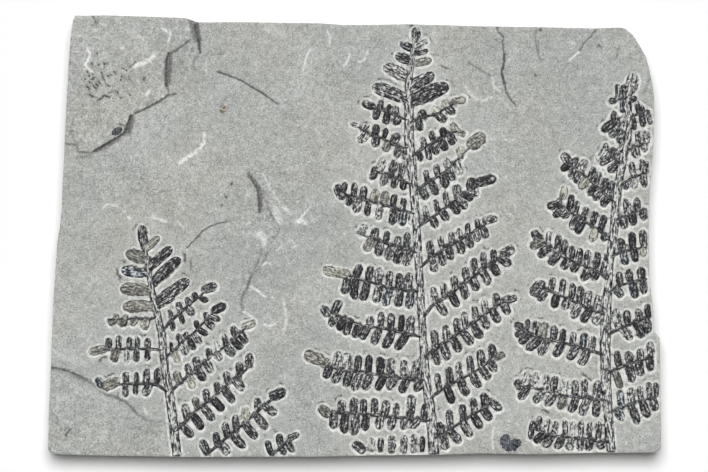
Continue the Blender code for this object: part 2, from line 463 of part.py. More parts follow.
def joined_outline(outlines):
    """The area that overlapping outlines cover, as points and triangles with no point inside."""
    points = [point for outline in outlines for point in outline]
    faces, first = [], 0
    for outline in outlines:
        faces.append(list(range(first, first + len(outline))))
        first += len(outline)
    points, _, triangles, _, _, sources = delaunay_2d_cdt(points, [], faces, 1, MERGE_DISTANCE)
    sides = set()
    for triangle, source in zip(triangles, sources):
        if source:
            sides.update(zip(triangle, triangle[1:] + triangle[:1]))
    following = {start: end for start, end in sides if (end, start) not in sides}
    rims = []
    while following:
        start, corner = following.popitem()
        rim = [start]
        while corner != start:
            rim.append(corner)
            corner = following.pop(corner)
        rims.append(simplified([points[corner] for corner in rim]))
    rims = [rim for rim in rims if len(rim) > 2]
    points = [point for rim in rims for point in rim]
    faces, first = [], 0
    for rim in rims:
        faces.append(list(range(first, first + len(rim))))
        first += len(rim)
    points, _, triangles, _, _, sources = delaunay_2d_cdt(points, [], faces, 1, MERGE_DISTANCE)
    return points, [triangle for triangle, source in zip(triangles, sources) if len(source) == 1]


def simplified(rim):
    """A rim without the corners that hardly change its shape."""
    shorter = True
    while shorter:
        shorter = False
        kept = []
        for index, corner in enumerate(rim):
            before = kept[-1] if kept else rim[-1]
            after = rim[(index + 1) % len(rim)]
            area = ((corner[0] - before[0]) * (after[1] - before[1])
                    - (corner[1] - before[1]) * (after[0] - before[0])) / 2
            if abs(area) < SMALLEST_CORNER:
                shorter = True
                continue
            kept.append(corner)
        rim = kept
    return rim


def plain_material(name, colour, roughness):
    material = bpy.data.materials.new(name)
    material.use_nodes = True
    shader = material.node_tree.nodes["Principled BSDF"]
    shader.inputs["Base Color"].default_value = (*colour, 1.0)
    shader.inputs["Roughness"].default_value = roughness
    shader.inputs["Metallic"].default_value = 0.0
    return material


def add_object(name, mesh_builder, material):
    """Turn a finished bmesh into a named object with its material."""
    bmesh.ops.recalc_face_normals(mesh_builder, faces=mesh_builder.faces)
    mesh = bpy.data.meshes.new(name)
    mesh_builder.to_mesh(mesh)
    mesh_builder.free()
    mesh.materials.append(material)
    piece = bpy.data.objects.new(name, mesh)
    bpy.context.scene.collection.objects.link(piece)
    return piece


def add_film(name, outlines, material):
    """A flat film of even thickness in the shape of the joined outlines, just above the slab."""
    rim, triangles = joined_outline(outlines)
    lower = SLAB_THICKNESS + FILM_GAP
    builder = bmesh.new()
    corners = [builder.verts.new((*above_origin(*point), lower)) for point in rim]
    faces = [builder.faces.new([corners[corner] for corner in triangle]) for triangle in triangles]
    raised = bmesh.ops.extrude_face_region(builder, geom=faces, use_keep_orig=True)["geom"]
    for part in raised:
        if isinstance(part, bmesh.types.BMVert):
            part.co.z += FILM_THICKNESS
    loose = [corner for corner in builder.verts if not corner.link_faces]
    bmesh.ops.delete(builder, geom=loose, context="VERTS")
    return add_object(name, builder, material)


def edge_height(x, y):
    """How far the slab's upper edge stands above or below its plain thickness at a point of the outline."""
    if x <= RAISED_BED_ENDS[0] and y <= RAISED_BED_ENDS[1]:
        return RAISED_BED_HEIGHT
    if x <= LOWER_BED_ENDS[0] and y >= LOWER_BED_ENDS[1]:
        return -LOWER_BED_DEPTH
    if x <= LOWER_BED_FADE_ENDS[0] and y >= LOWER_BED_FADE_ENDS[1]:
        return -LOWER_BED_DEPTH / 2
    return 0.0


def slab_ring(stand_back, variation):
    """The outline pulled in by a distance that varies in slow waves along the edge."""
    ring = []
    for index, point in enumerate(SLAB_OUTLINE):
        direction = unit_vector(SLAB_OUTLINE[index - 1], SLAB_OUTLINE[(index + 1) % len(SLAB_OUTLINE)])
        wave = sum(math.sin(index * step + stand_back * shift) * share for step, shift, share in SIDE_WAVES)
        ring.append(beside(point, direction, stand_back + variation * wave))
    return ring


def slab_top(ring):
    """The upper face with its beds and ledge: points, heights, triangles and places in the ring."""
    lines = [([0.0] * len(RAISED_FOOT), RAISED_FOOT), ([RAISED_BED_HEIGHT] * len(RAISED_LIP), RAISED_LIP),
             ([0.0] * len(LOWER_LIP), LOWER_LIP), ([0.0] * len(LEDGE_FOOT), LEDGE_FOOT),
             ([0.0] * len(LEDGE_BACK), LEDGE_BACK)]
    lines.append(([-LOWER_BED_DEPTH] * (len(LOWER_FOOT) - 1) + [-LOWER_BED_DEPTH / 2], LOWER_FOOT))
    lines.append(([LEDGE_HEIGHT] * (len(LEDGE_CREST) - 1) + [LEDGE_HEIGHT / 2], LEDGE_CREST))
    points = list(ring)
    heights = [edge_height(*point) for point in SLAB_OUTLINE]
    edges = []
    for line_heights, line in lines:
        edges += [(len(points) + step, len(points) + step + 1) for step in range(len(line) - 1)]
        points += line
        heights += line_heights
    whole = [list(range(len(ring)))]
    points, _, triangles, sources, _, _ = delaunay_2d_cdt(points, edges, whole, 1, MERGE_DISTANCE)
    firsts = [source[0] for source in sources]
    return points, [heights[first] for first in firsts], triangles, firsts


def add_slab(material):
    builder = bmesh.new()
    rings = []
    for height, stand_back, variation in SLAB_SIDE:
        ring = slab_ring(stand_back, variation)
        rings.append([builder.verts.new((*above_origin(*point), height)) for point in ring])
    top_ring = slab_ring(*SLAB_SIDE[-1][1:])
    points, heights, triangles, sources = slab_top(top_ring)
    corners = []
    for point, height, source in zip(points, heights, sources):
        if source < len(top_ring):
            corner = rings[-1][source]
            corner.co.z = SLAB_THICKNESS + height
            rings[-2][source].co.z += height
        else:
            corner = builder.verts.new((*above_origin(*point), SLAB_THICKNESS + height))
        corners.append(corner)
    for triangle in triangles:
        builder.faces.new([corners[corner] for corner in triangle])
    for lower, upper in zip(rings, rings[1:]):
        for index in range(len(lower)):
            following = (index + 1) % len(lower)
            builder.faces.new([lower[index], lower[following], upper[following], upper[index]])
    builder.faces.new(rings[0])
    return add_object("stone_slab", builder, material)


def build():
    """The plate. The left frond's two lowest branches are films of their own, because the stretch of stem
    that they grow from lies beyond the slab's lower edge."""
    for existing in list(bpy.data.objects):
        bpy.data.objects.remove(existing, do_unlink=True)
    shale = plain_material("shale", SHALE_COLOUR, SHALE_ROUGHNESS)
    carbon = plain_material("carbon_film", CARBON_COLOUR, CARBON_ROUGHNESS)
    add_slab(shale)
    low_branch, lowest_branch = LEFT_LOWER_BRANCHES
    films = {
        "left_frond": frond(LEFT_STEM, LEFT_LOBES, LEFT_LEFT_BRANCHES, LEFT_RIGHT_BRANCHES),
        "left_frond_low_branch": branch(*low_branch, False),
        "left_frond_lowest_branch": branch(*lowest_branch, False),
        "middle_frond": frond(MIDDLE_STEM, MIDDLE_LOBES, MIDDLE_LEFT_BRANCHES, MIDDLE_RIGHT_BRANCHES),
        "right_frond": frond(RIGHT_STEM, RIGHT_LOBES, RIGHT_LEFT_BRANCHES, RIGHT_RIGHT_BRANCHES),
        "lower_scrap": [LOWER_SCRAP_OUTLINE],
    }
    for name, outlines in films.items():
        add_film(name, outlines, carbon)
    oval_scrap = add_film("oval_scrap", [OVAL_SCRAP_OUTLINE], carbon)
    oval_scrap.location.z = RAISED_BED_HEIGHT


build()
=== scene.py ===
"""The looks of the fossil fern plate: a slab of shale with three fern fronds pressed on its upper face.

The plate is laid out on the same drawing sheet as its solids, x to the right and y down, in sheet units.
"""
import math
import random

import bpy
import numpy as np
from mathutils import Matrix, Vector, noise
from mathutils.geometry import delaunay_2d_cdt


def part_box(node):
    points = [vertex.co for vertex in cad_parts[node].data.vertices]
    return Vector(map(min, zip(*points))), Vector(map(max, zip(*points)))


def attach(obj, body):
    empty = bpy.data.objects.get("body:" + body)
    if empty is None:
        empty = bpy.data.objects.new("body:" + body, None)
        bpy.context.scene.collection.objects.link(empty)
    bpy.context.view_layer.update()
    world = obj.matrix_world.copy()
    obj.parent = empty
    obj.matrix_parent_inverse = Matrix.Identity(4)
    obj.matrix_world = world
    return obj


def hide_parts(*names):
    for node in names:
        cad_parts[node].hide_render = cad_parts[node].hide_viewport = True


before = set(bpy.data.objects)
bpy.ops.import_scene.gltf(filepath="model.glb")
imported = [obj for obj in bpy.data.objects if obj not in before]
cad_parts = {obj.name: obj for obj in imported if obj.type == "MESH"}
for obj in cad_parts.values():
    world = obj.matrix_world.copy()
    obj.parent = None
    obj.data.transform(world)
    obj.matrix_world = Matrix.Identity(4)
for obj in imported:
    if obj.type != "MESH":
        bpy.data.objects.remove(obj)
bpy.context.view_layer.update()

# The drawing sheet: its unit in metres comes from the slab's length in the frame. TOP is the height of the
# slab's plain upper face.
SLAB_LOW, SLAB_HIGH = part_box("stone_slab")
SLAB_LENGTH_ON_SHEET = 613.5
SHEET_CENTRE = (354.25, 236.25)
SHEET_SIZE = (708, 472)
UNIT = (SLAB_HIGH[0] - SLAB_LOW[0]) / SLAB_LENGTH_ON_SHEET
MM = 0.001
TOP = 16.0 * MM

# Relief of the upper face in metres, and a leaflet's crest and rim against the plain rock beside it
RAISED_BED_HEIGHT = 1.2 * MM
LOWER_BED_DEPTH = 1.0 * MM
LEDGE_HEIGHT = 0.7 * MM
SHELF_HEIGHT = 0.55 * MM
LOOP_HEIGHT = 0.4 * MM
SCOOP_DEPTH = 0.2 * MM
TRENCH_DEPTH = 0.42 * MM
LEAF_CREST = 0.05 * MM
LEAF_RIM = -0.42 * MM

# The slab's outline, clockwise on the sheet from its upper left corner
SLAB_OUTLINE = [
    (75, 15.5), (110, 15.2), (150, 16.5), (187, 18), (197, 22), (240, 22), (320, 23), (345, 25), (410, 24),
    (480, 26), (560, 27.3), (598, 28), (621, 27.4), (626, 28.7), (633.6, 35.3), (640, 46), (646, 56.5),
    (649, 68), (652.5, 84), (654.3, 95), (654.8, 113), (653, 153), (649.7, 192), (648.6, 235),
    (649.7, 281), (653, 304), (654, 331), (660, 337.6), (660.5, 371), (661, 417), (661, 447), (660, 451),
    (655, 453), (600, 453), (540, 454.5), (480, 453.8), (445, 455), (390, 455.6), (345, 456.4),
    (310, 457), (240, 457.2), (190, 457.3), (150, 456.6), (105, 456), (60, 454.8), (50, 453), (47.5, 449),
    (48.5, 417), (50.3, 371), (50.8, 364), (53, 304), (57, 243), (60, 225), (61.8, 200), (64.2, 148),
    (64.5, 140), (67, 92), (69.6, 51), (70.6, 36), (73, 20)]

# The raised bed in the upper left, from the upper edge round to the left edge, and the shelf beside it
RAISED_LIP = [(188.2, 10), (190.5, 24), (191, 38.7), (184.7, 43.3), (176.7, 49), (169.8, 52.5), (166.9, 57),
              (165.6, 64), (165.4, 84.6), (166.9, 90.4), (168, 94.4), (161.8, 99), (153.7, 103.6),
              (144.5, 108.2), (135.4, 112.2), (130.2, 115.6), (128.5, 120.2), (123.9, 126), (122.7, 131.7),
              (119.3, 135.7), (110.1, 140.9), (100.9, 146), (94, 150.6), (86, 151.8), (78.5, 151.2),
              (76.8, 144.3), (69.9, 143.2), (50, 143.2)]
RAISED_BED = RAISED_LIP + [(40, 142), (40, 0), (188, 0)]
SHELF_EDGE = [(198, 10), (197.9, 22.6), (197.3, 33), (200.8, 47.9), (200.2, 53.6), (194, 62), (194, 70),
              (186, 88), (176, 97), (168, 95)]
SHELF_LIP_POINTS = 11
SHELF = SHELF_EDGE + RAISED_LIP[:SHELF_LIP_POINTS][::-1]

# The lower bed in the lower left
LOWER_LIP = [(40, 367), (51.1, 367.4), (55.6, 367.4), (65.4, 369.6), (73.5, 372.3), (79.7, 374.6),
             (86.9, 378.6), (94, 383), (99.4, 388.4), (106.5, 393.3), (117.2, 396.4), (124.4, 400),
             (129.7, 404.5), (134.2, 408.9), (138.6, 414.3), (145.8, 418.3), (154.7, 421.4), (159.2, 421.4)]
LOWER_BED = LOWER_LIP + [(166, 440), (160, 480), (30, 480)]

# Ledges left of the middle, whose backs run out to the left, and a shallow scoop below an arched crack
LEDGE_CREST = [(247, 171), (247.6, 174.5), (252.9, 182.9), (257.6, 190.3), (258.7, 199.7), (259.2, 209.2),
               (260.3, 217.6)]
LEDGE_BACK = [(250, 228), (232, 220), (226, 196), (236, 172)]
LOOP_LEDGE = [(267.6, 207), (271.8, 216.6), (279.2, 227.1), (278.7, 232.4), (274, 238.7), (266.6, 248.2),
              (267.1, 252.4), (265, 258.7), (261.3, 265), (255, 271.3), (249.7, 279.7), (247.6, 287.1),
              (242.4, 296.6), (240.3, 302.9), (242.4, 308.2), (248.7, 313.4)]
LOOP_BACK = [(225, 318), (218, 290), (232, 262), (246, 240), (258, 216)]
ARCH = [(187.1, 247.6), (196, 238.7), (203.4, 230.3), (210.8, 226), (219.2, 222.9), (227.6, 221.3)]
SCOOP = ARCH + [(240, 232), (236, 262), (208, 276), (192, 266)]

# Cracks and dark strokes, some of them painted shadow beside the leaflets and at the slab's right edge: half
# width, strength and points
CRACKS = [
    (1.2, 0.8, [(218, 72), (228, 75), (242, 81), (262, 93), (277, 103.5)]),
    (1.1, 0.7, [(497.1, 26.5), (497.5, 30.7), (503.8, 37.4), (502.6, 42.2), (504.4, 54.4)]),
    (1.5, 0.9, [(504.4, 54.4), (503.8, 64), (501.6, 72.5), (504.4, 83.4)]),
    (1.2, 0.7, [(504.4, 83.4), (506.2, 91.9), (511, 100.4), (515.9, 105)]),
    (1.0, 0.5, [(535.9, 28), (535.9, 43.4), (537.7, 53.1), (540.7, 60.4)]),
    (0.9, 0.4, [(538.3, 41), (538.9, 53)]),
    (1.2, 0.65, [(598.5, 26), (596.5, 29.5), (591, 36.2), (584.4, 42.8), (580.1, 50.1)]),
    (1.0, 0.5, [(618.9, 45.9), (618.3, 50.7), (616.5, 58)]),
    (1.0, 0.45, [(468.6, 62.8), (478.3, 68.9), (489.2, 75)]),
    (0.9, 0.35, [(557, 58), (557.7, 61.6)]),
    (1.4, 0.9, [(98.6, 100.1), (104.4, 95.5), (109, 97)]),
    (1.0, 0.6, [(110, 92.7), (114.7, 90.4)]),
    (1.0, 0.6, [(129.6, 67.4), (135.4, 62.2)]),
    (1.0, 0.6, [(128.5, 76), (133.1, 84)]),
    (1.1, 0.7, [(92.9, 15.7), (95.8, 22.6)]),
    (1.4, 0.8, [(65.4, 435.7), (69.9, 429.9)]),
    (1.0, 0.5, [(64, 431), (68, 427), (70, 431)]),
    (1.0, 0.4, [(56, 416), (58, 419), (57, 423)]),
    (1.0, 0.75, ARCH),
    (1.1, 0.7, [(190.8, 260.8), (191.3, 268.2)]),
    (1.3, 0.8, [(99.4, 360.7), (102, 358), (106.5, 356.7)]),
    (1.3, 0.8, [(120.4, 124.2), (123.9, 125.4)]),
    (1.0, 0.6, [(218.6, 54.2), (221.5, 54.5)]),
    (1.4, 0.85, [(583, 374), (590, 380)]),
    (1.2, 0.8, [(542, 410), (546, 411), (549, 413)]),
    (1.2, 0.8, [(116.8, 269), (118, 275), (121, 278.5)]),
    (1.3, 0.8, [(184.4, 254.3), (185.7, 257.9), (184, 261.4)]),
    (1.0, 0.6, [(120.5, 260.5), (125, 260.5)]),
    (1.1, 0.7, [(441, 66), (447, 68.5)]),
    (1.0, 0.6, [(434, 54.5), (438, 55.5)]),
    (1.0, 0.6, [(382, 78.5), (391, 80.5)]),
    (1.0, 0.6, [(451, 80.5), (453, 83.5)]),
    (1.4, 0.4, [(644, 93), (651, 76)]),
    (1.2, 0.7, [(615, 169), (621, 175)]),
]

# Shaded hollows and the shady faces of the ledges: half width, strength and points
SHADES = [
    (4.0, 0.60, [(191.5, 21), (193.5, 30), (196.5, 40)]),
    (1.9, 0.95, [(194.5, 24.5), (196.4, 33), (198.6, 42), (200.2, 52)]),
    (2.6, 0.80, [(197, 24.5), (198.5, 34), (199.8, 44)]),
    (1.6, 0.4, [(198.5, 56), (193.9, 60.5), (193.3, 65.1), (195, 69.7)]),
    (1.6, 0.65, [(190, 39.4), (184.7, 44), (176.7, 50), (170.5, 53.5)]),
    (1.9, 0.95, [(168.8, 53), (166.6, 60), (166.2, 68), (165.9, 75), (166.2, 86)]),
    (4.2, 0.70, [(169.4, 55), (169.4, 64), (168.6, 72), (167.6, 82)]),
    (1.4, 0.5, [(167.5, 86), (169, 94)]),
    (1.4, 0.75, [(176, 94), (168, 95), (161.8, 99.6), (153.7, 104.2), (144.5, 109), (135.4, 113)]),
    (2.0, 0.95, [(131, 115.5), (129.3, 121), (126.5, 128), (123.8, 133.5)]),
    (3.8, 0.75, [(132.5, 119), (131, 125), (128, 133)]),
    (1.9, 0.95, [(122, 134.5), (112, 140.6), (102, 146.4), (94, 151)]),
    (3.0, 0.6, [(118, 139), (108, 145), (98, 150)]),
    (1.5, 0.4, [(93, 153), (86, 156.5), (79, 157)]),
    (1.2, 0.4, [(86, 151.8), (78.5, 151.2), (76.8, 144.3), (64, 143.2)]),
    (1.4, 0.3, [(83.7, 111.6), (76.8, 114.5), (73.4, 120.2), (70.5, 131.7), (76.8, 144.3)]),
    (1.0, 0.25, [(188, 46), (180, 62), (173, 80)]),
    (1.0, 0.25, [(184, 46), (177, 58), (171, 74)]),
    (1.0, 0.2, [(192, 50), (186, 66), (178, 84)]),
    (3.0, 0.75, [(248.6, 174.5), (254.2, 181), (258.6, 188), (260.8, 198), (260.4, 209)]),
    (1.5, 0.9, [(248.6, 174.5), (252, 180), (256.3, 187), (258, 193), (259, 202), (259.6, 212)]),
    (1.2, 0.55, [(262, 190), (266, 202), (270, 212), (274, 219)]),
    (1.2, 0.5, [(267.4, 202), (267.6, 207), (271.8, 216.6)]),
    (1.4, 0.3, [(271.8, 216.6), (279.2, 227.1), (278.7, 232.4), (274, 238.7)]),
    (1.6, 0.35, [(267.1, 252.4), (265, 258.7), (261.3, 265), (255, 271.3)]),
    (1.6, 0.4, [(261.3, 251.3), (259.2, 258.7), (257.1, 265), (250.8, 275.5)]),
    (1.8, 0.65, [(250.8, 276), (248.5, 284), (247, 288)]),
    (1.6, 0.5, [(247, 288), (242.4, 296.6), (240.6, 302.9), (242.4, 308.2)]),
    (1.4, 0.75, [(51.1, 367.6), (55.6, 367.6), (65.4, 370), (73.5, 373), (86.9, 379.5)]),
    (4.0, 0.5, [(72, 374.5), (78, 377), (84, 380)]),
    (2.4, 0.42, [(86, 379), (99.4, 389.5), (106.5, 394), (117.2, 397.5), (124.4, 401.5)]),
    (1.8, 0.6, [(124.4, 400.5), (129.7, 405.5), (134.2, 410), (138.6, 415)]),
    (1.4, 0.3, [(138.6, 414.8), (145.8, 418.8), (154.7, 421.9), (159.2, 421.4)]),
    (1.6, 0.14, [(528, 110), (537.7, 121), (549.8, 125.2), (561.9, 123.4), (574, 115)]),
    (9.0, 0.10, [(205, 240), (215, 250), (222, 240)]),
]

# Chalky scratches and bruises: half width, strength and points
SCRATCHES = [
    (1.5, 0.9, [(87.1, 49), (90.6, 53.6), (87.7, 60.5), (85.1, 64.5), (89.4, 69.7), (92.9, 72.6)]),
    (2.4, 0.9, [(134.2, 66.3), (142.2, 63.4), (150.3, 59.4), (154.3, 55.3)]),
    (1.5, 0.8, [(161.8, 28.4), (167, 31)]),
    (1.3, 0.8, [(170.4, 31.8), (168.6, 41)]),
    (1.2, 0.8, [(139, 37), (144, 37.8)]),
    (1.3, 0.8, [(149.7, 90.4), (146.8, 95)]),
    (1.5, 0.95, [(204.2, 134), (204.2, 143.2), (198.5, 149.5)]),
    (2.3, 0.95, [(198.5, 149.5), (190.5, 155.2), (179.6, 162.7)]),
    (1.3, 0.7, [(102, 208), (108, 204), (117, 206)]),
    (1.4, 0.8, [(153.5, 218), (166, 221)]),
    (2.0, 0.8, [(129, 218), (129.5, 218.5)]),
    (1.5, 0.6, [(125, 211), (125.5, 211)]),
    (1.2, 0.7, [(309, 50), (305, 62), (303, 71)]),
    (1.1, 0.6, [(327, 30), (330, 37), (330, 46)]),
    (1.2, 0.7, [(368, 51), (364, 60), (359, 62)]),
    (1.2, 0.7, [(350, 53), (347, 62), (344, 66)]),
    (1.4, 0.8, [(249.7, 286), (257.1, 290.3), (264.5, 296.6)]),
    (1.2, 0.8, [(579, 52), (574, 56), (569.2, 60.4)]),
    (2.0, 0.7, [(572.4, 43), (573.2, 44)]),
    (1.4, 0.7, [(262.4, 265), (266.6, 262.9), (270.8, 263.4)]),
    (1.3, 0.7, [(243.4, 311.3), (252.9, 317.6)]),
    (1.3, 0.8, [(263.4, 324), (268.7, 326), (274.5, 324)]),
    (4.2, 0.7, [(259, 234), (263, 238), (264, 242)]),
    (3.6, 0.5, [(275, 208), (277, 215), (280, 222)]),
    (2.0, 0.6, [(284, 207), (288, 211), (291, 214)]),
    (1.4, 0.8, [(309.7, 207), (304, 214), (300, 219.7)]),
    (2.6, 0.95, [(297, 222), (301, 221), (305.5, 222.9)]),
    (1.0, 0.7, [(263.4, 174.5), (270.8, 188.2)]),
    (1.0, 0.7, [(272.9, 191.3), (278.7, 201.3)]),
    (1.2, 0.4, [(206, 60), (206.5, 75)]),
    (1.6, 0.5, [(465, 86), (472, 96), (481, 101), (493, 97)]),
    (1.8, 0.5, [(493, 79), (494, 87), (500, 91)]),
    (1.4, 0.6, [(144, 408.5), (147, 414)]),
    (1.4, 0.6, [(494, 428), (492, 438), (493, 449)]),
    (1.6, 0.5, [(283, 300), (287, 318), (284, 330)]),
    (5.0, 0.25, [(268, 28), (282, 36)]),
    (6.0, 0.22, [(60, 352), (78, 362)]),
    (1.2, 0.5, [(178, 222), (184, 228)]),
    (1.2, 0.5, [(276, 250), (282, 246)]),
    (1.2, 0.5, [(292, 240), (296, 246), (293, 247)]),
]

# Groups of dark mineral specks, and the ochre one
SPECKS = [(91.7, 64), (98.6, 65), (104.4, 64), (104.4, 66.8), (87.7, 72), (92.9, 73.7), (101.5, 72.6),
          (102.6, 74.3), (85.4, 78.9), (89.4, 76), (94, 77.7), (92.9, 79.4), (103.2, 77.7), (104.4, 80),
          (98.6, 81.7), (100.3, 83.5), (107.8, 76), (111.3, 74.9), (114.1, 72), (121.6, 76.6), (123.9, 69.1),
          (126.7, 70.3), (121, 80), (87.7, 86.9), (89.4, 88.6), (93.5, 85.8), (95.2, 88.1), (90.6, 95),
          (92.9, 96.7), (97.5, 85.2), (89.4, 82.3), (107.8, 85.8), (117.6, 92.7), (121, 97.8), (130.2, 95),
          (143.4, 79.5), (145.1, 78.3), (97, 53.5), (226, 197), (231, 184), (222, 205), (496, 40), (540, 30),
          (535, 75), (600, 46)]
OCHRE_SPOT = (222.6, 109.3)
OCHRE_RADIUS = 5.2

# Scraps of other plants
LOWER_SCRAP = [(499.4, 441), (501, 437), (504, 433.6), (508, 434.5), (510.5, 438.5), (513, 440.5),
               (515, 437.5), (518.5, 438.4), (521.8, 441.5), (520, 446.5), (516.5, 449.6), (511.5, 451.8),
               (506, 451.4), (501.5, 447)]
OVAL_SCRAP = [(111.4, 133.6), (112.4, 130.4), (115, 128), (118.6, 126.8), (121.8, 126.8), (122.7, 129.4),
              (121.2, 132.6), (118.4, 134.9), (114.8, 135.8), (112.3, 135.2)]

# The fronds. A stem is a list of points with the stem's width. A lobe, near a frond's tip, is its foot, its
# tip and its width. A branch is its spine from the stem outwards, the boxes of its end lobes, and the
# boxes of the leaflets above and below the spine. A box is left, right, top, bottom; with left and right
# swapped, its leaflet leans the other way.
LEFT_STEM = [(143, 238, 4), (144.5, 246, 4), (146.5, 258, 5), (148.5, 272, 5), (151, 285, 6),
             (154.3, 303, 7), (158, 317, 7), (162, 335, 8), (165, 370, 8), (169, 390, 9), (173, 420, 9),
             (177, 455, 9)]
LEFT_LOBES = [(144, 246, 141.8, 224.8, 10), (147, 259, 125.5, 252.5, 13), (148, 273, 121, 269.5, 11),
              (150, 291, 119.8, 289, 13), (153, 306.5, 122.3, 307, 12), (145.5, 250, 159.5, 236.5, 8),
              (147.5, 269.5, 172, 247, 10), (152, 284.5, 180.5, 258, 11), (156, 302, 189, 279.5, 12),
              (157, 308, 174.5, 297.5, 5)]
LEFT_LEFT_BRANCHES = [
    ([(158, 316), (150, 319), (122, 319), (108, 320)], [],
     [(112, 119, 313, 320), (121, 128, 313, 319)],
     [(109, 119, 320, 328), (120, 129, 319, 328), (131, 140, 320, 328), (141, 150, 320, 330)]),
    ([(163, 350), (150, 349), (107, 349)], [(89, 107, 345, 356)],
     [(105, 112, 338, 348), (116, 122, 336, 348), (126, 132, 337, 348), (134, 140, 337, 348),
      (144, 151, 338, 350)],
     [(111, 121, 350, 362), (124, 130, 350, 363), (133, 140, 350, 362), (144, 151, 350, 361)]),
    ([(168, 392), (158, 385), (142, 384), (127, 384), (110, 385)],
     [(95, 104, 377, 388), (102, 120, 377, 391)],
     [(122, 129, 372, 383), (134, 139, 372, 382), (143, 150, 369, 382), (154, 161, 368, 384)],
     [(122, 129, 386, 397), (133, 139, 386, 395), (142, 154, 385, 397)]),
]
LEFT_RIGHT_BRANCHES = [
    ([(162, 332), (170, 322), (180, 313), (190, 304), (200, 296)], [(201, 217, 282, 294)],
     [(167, 172, 310, 320), (175, 182, 302, 312), (184, 191, 297, 307), (192, 198, 292, 301)],
     [(170, 176, 320, 331), (180, 186, 314, 324), (186, 195, 307, 316), (199, 208, 297, 304)]),
    ([(166, 357), (175, 350), (185, 339), (193, 334), (202, 324), (211, 315)], [(211, 226, 302, 314)],
     [(169, 173, 342, 354), (175, 181, 334, 344), (183, 189, 332, 341), (193, 199, 320, 330),
      (202, 208, 312, 320)],
     [(174, 182, 352, 362), (182, 190, 345, 355), (190, 197, 342, 350), (195, 202, 337, 344),
      (200, 208, 330, 337), (207, 215, 322, 330), (209, 220, 316, 323)]),
    ([(169, 394), (179, 383), (195, 371), (211, 356), (230, 343), (241, 332)], [(241, 256, 320, 330)],
     [(172, 181, 371, 383), (183, 190, 364, 374), (192, 200, 357, 371), (205, 212, 348, 360),
      (213, 219, 341, 350), (221, 227, 334, 345), (229, 237, 326, 338)],
     [(189, 197, 377, 388), (199, 208, 371, 381), (206, 215, 362, 373), (214, 222, 353, 361),
      (226, 235, 348, 357), (234, 243, 341, 350), (241, 249, 334, 343)]),
    ([(174, 433), (186, 421), (201, 406), (211, 399), (228, 384), (244, 372), (252, 363)], [],
     [(181, 189, 404, 422), (191, 198, 397, 409), (202, 210, 389, 404), (213, 220, 382, 394),
      (222, 230, 372, 385), (235, 243, 362, 379), (245, 254, 354, 371)],
     [(181, 194, 424, 438), (194, 205, 416, 430), (203, 215, 408, 421), (213, 225, 400, 412),
      (224, 236, 390, 403), (234, 245, 380, 391)]),
]
LEFT_LOWER_BRANCHES = [
    ([(205, 455), (216, 447), (226, 438), (247, 421), (265, 405), (275, 397)], [(269, 286, 387, 401)],
     [(199, 210, 440, 455), (212, 220, 432, 447), (221, 229, 422, 438), (232, 240, 415, 433),
      (241, 250, 407, 424), (254, 262, 398, 416)],
     [(221, 231, 444, 455), (232, 246, 435, 449), (246, 258, 426, 439), (257, 269, 416, 430),
      (262, 277, 404, 416)]),
    ([(272, 455), (281, 447), (291, 438)], [(287, 299, 432, 441)],
     [(264, 271, 441, 455), (275, 283, 434, 448)],
     [(279, 287, 447, 455), (289, 296, 444, 452)]),
]
MIDDLE_STEM = [(415.5, 38, 4), (413.5, 50, 5), (411.5, 61, 6), (410, 70, 7), (408.5, 84, 7), (409, 100, 9),
               (409.2, 120, 9.5), (409, 140, 10), (412.5, 175, 9), (416, 220, 8), (420, 285, 8),
               (423, 340, 8), (426, 380, 9), (431, 415, 10), (434, 453, 11)]
MIDDLE_LOBES = [(415.5, 39, 415.8, 27, 9.5), (414, 50, 400.2, 42.5, 8.5), (412.5, 61, 395.2, 55, 10),
                (409, 79, 383.5, 65.5, 13), (408, 99.5, 372, 86, 13.5), (413.5, 48.5, 428, 40.5, 6.5),
                (413.5, 54.5, 428.5, 50, 5), (411.5, 64, 432, 60, 8), (409, 89, 434.5, 74, 12.5),
                (409, 103, 449, 85.5, 15)]
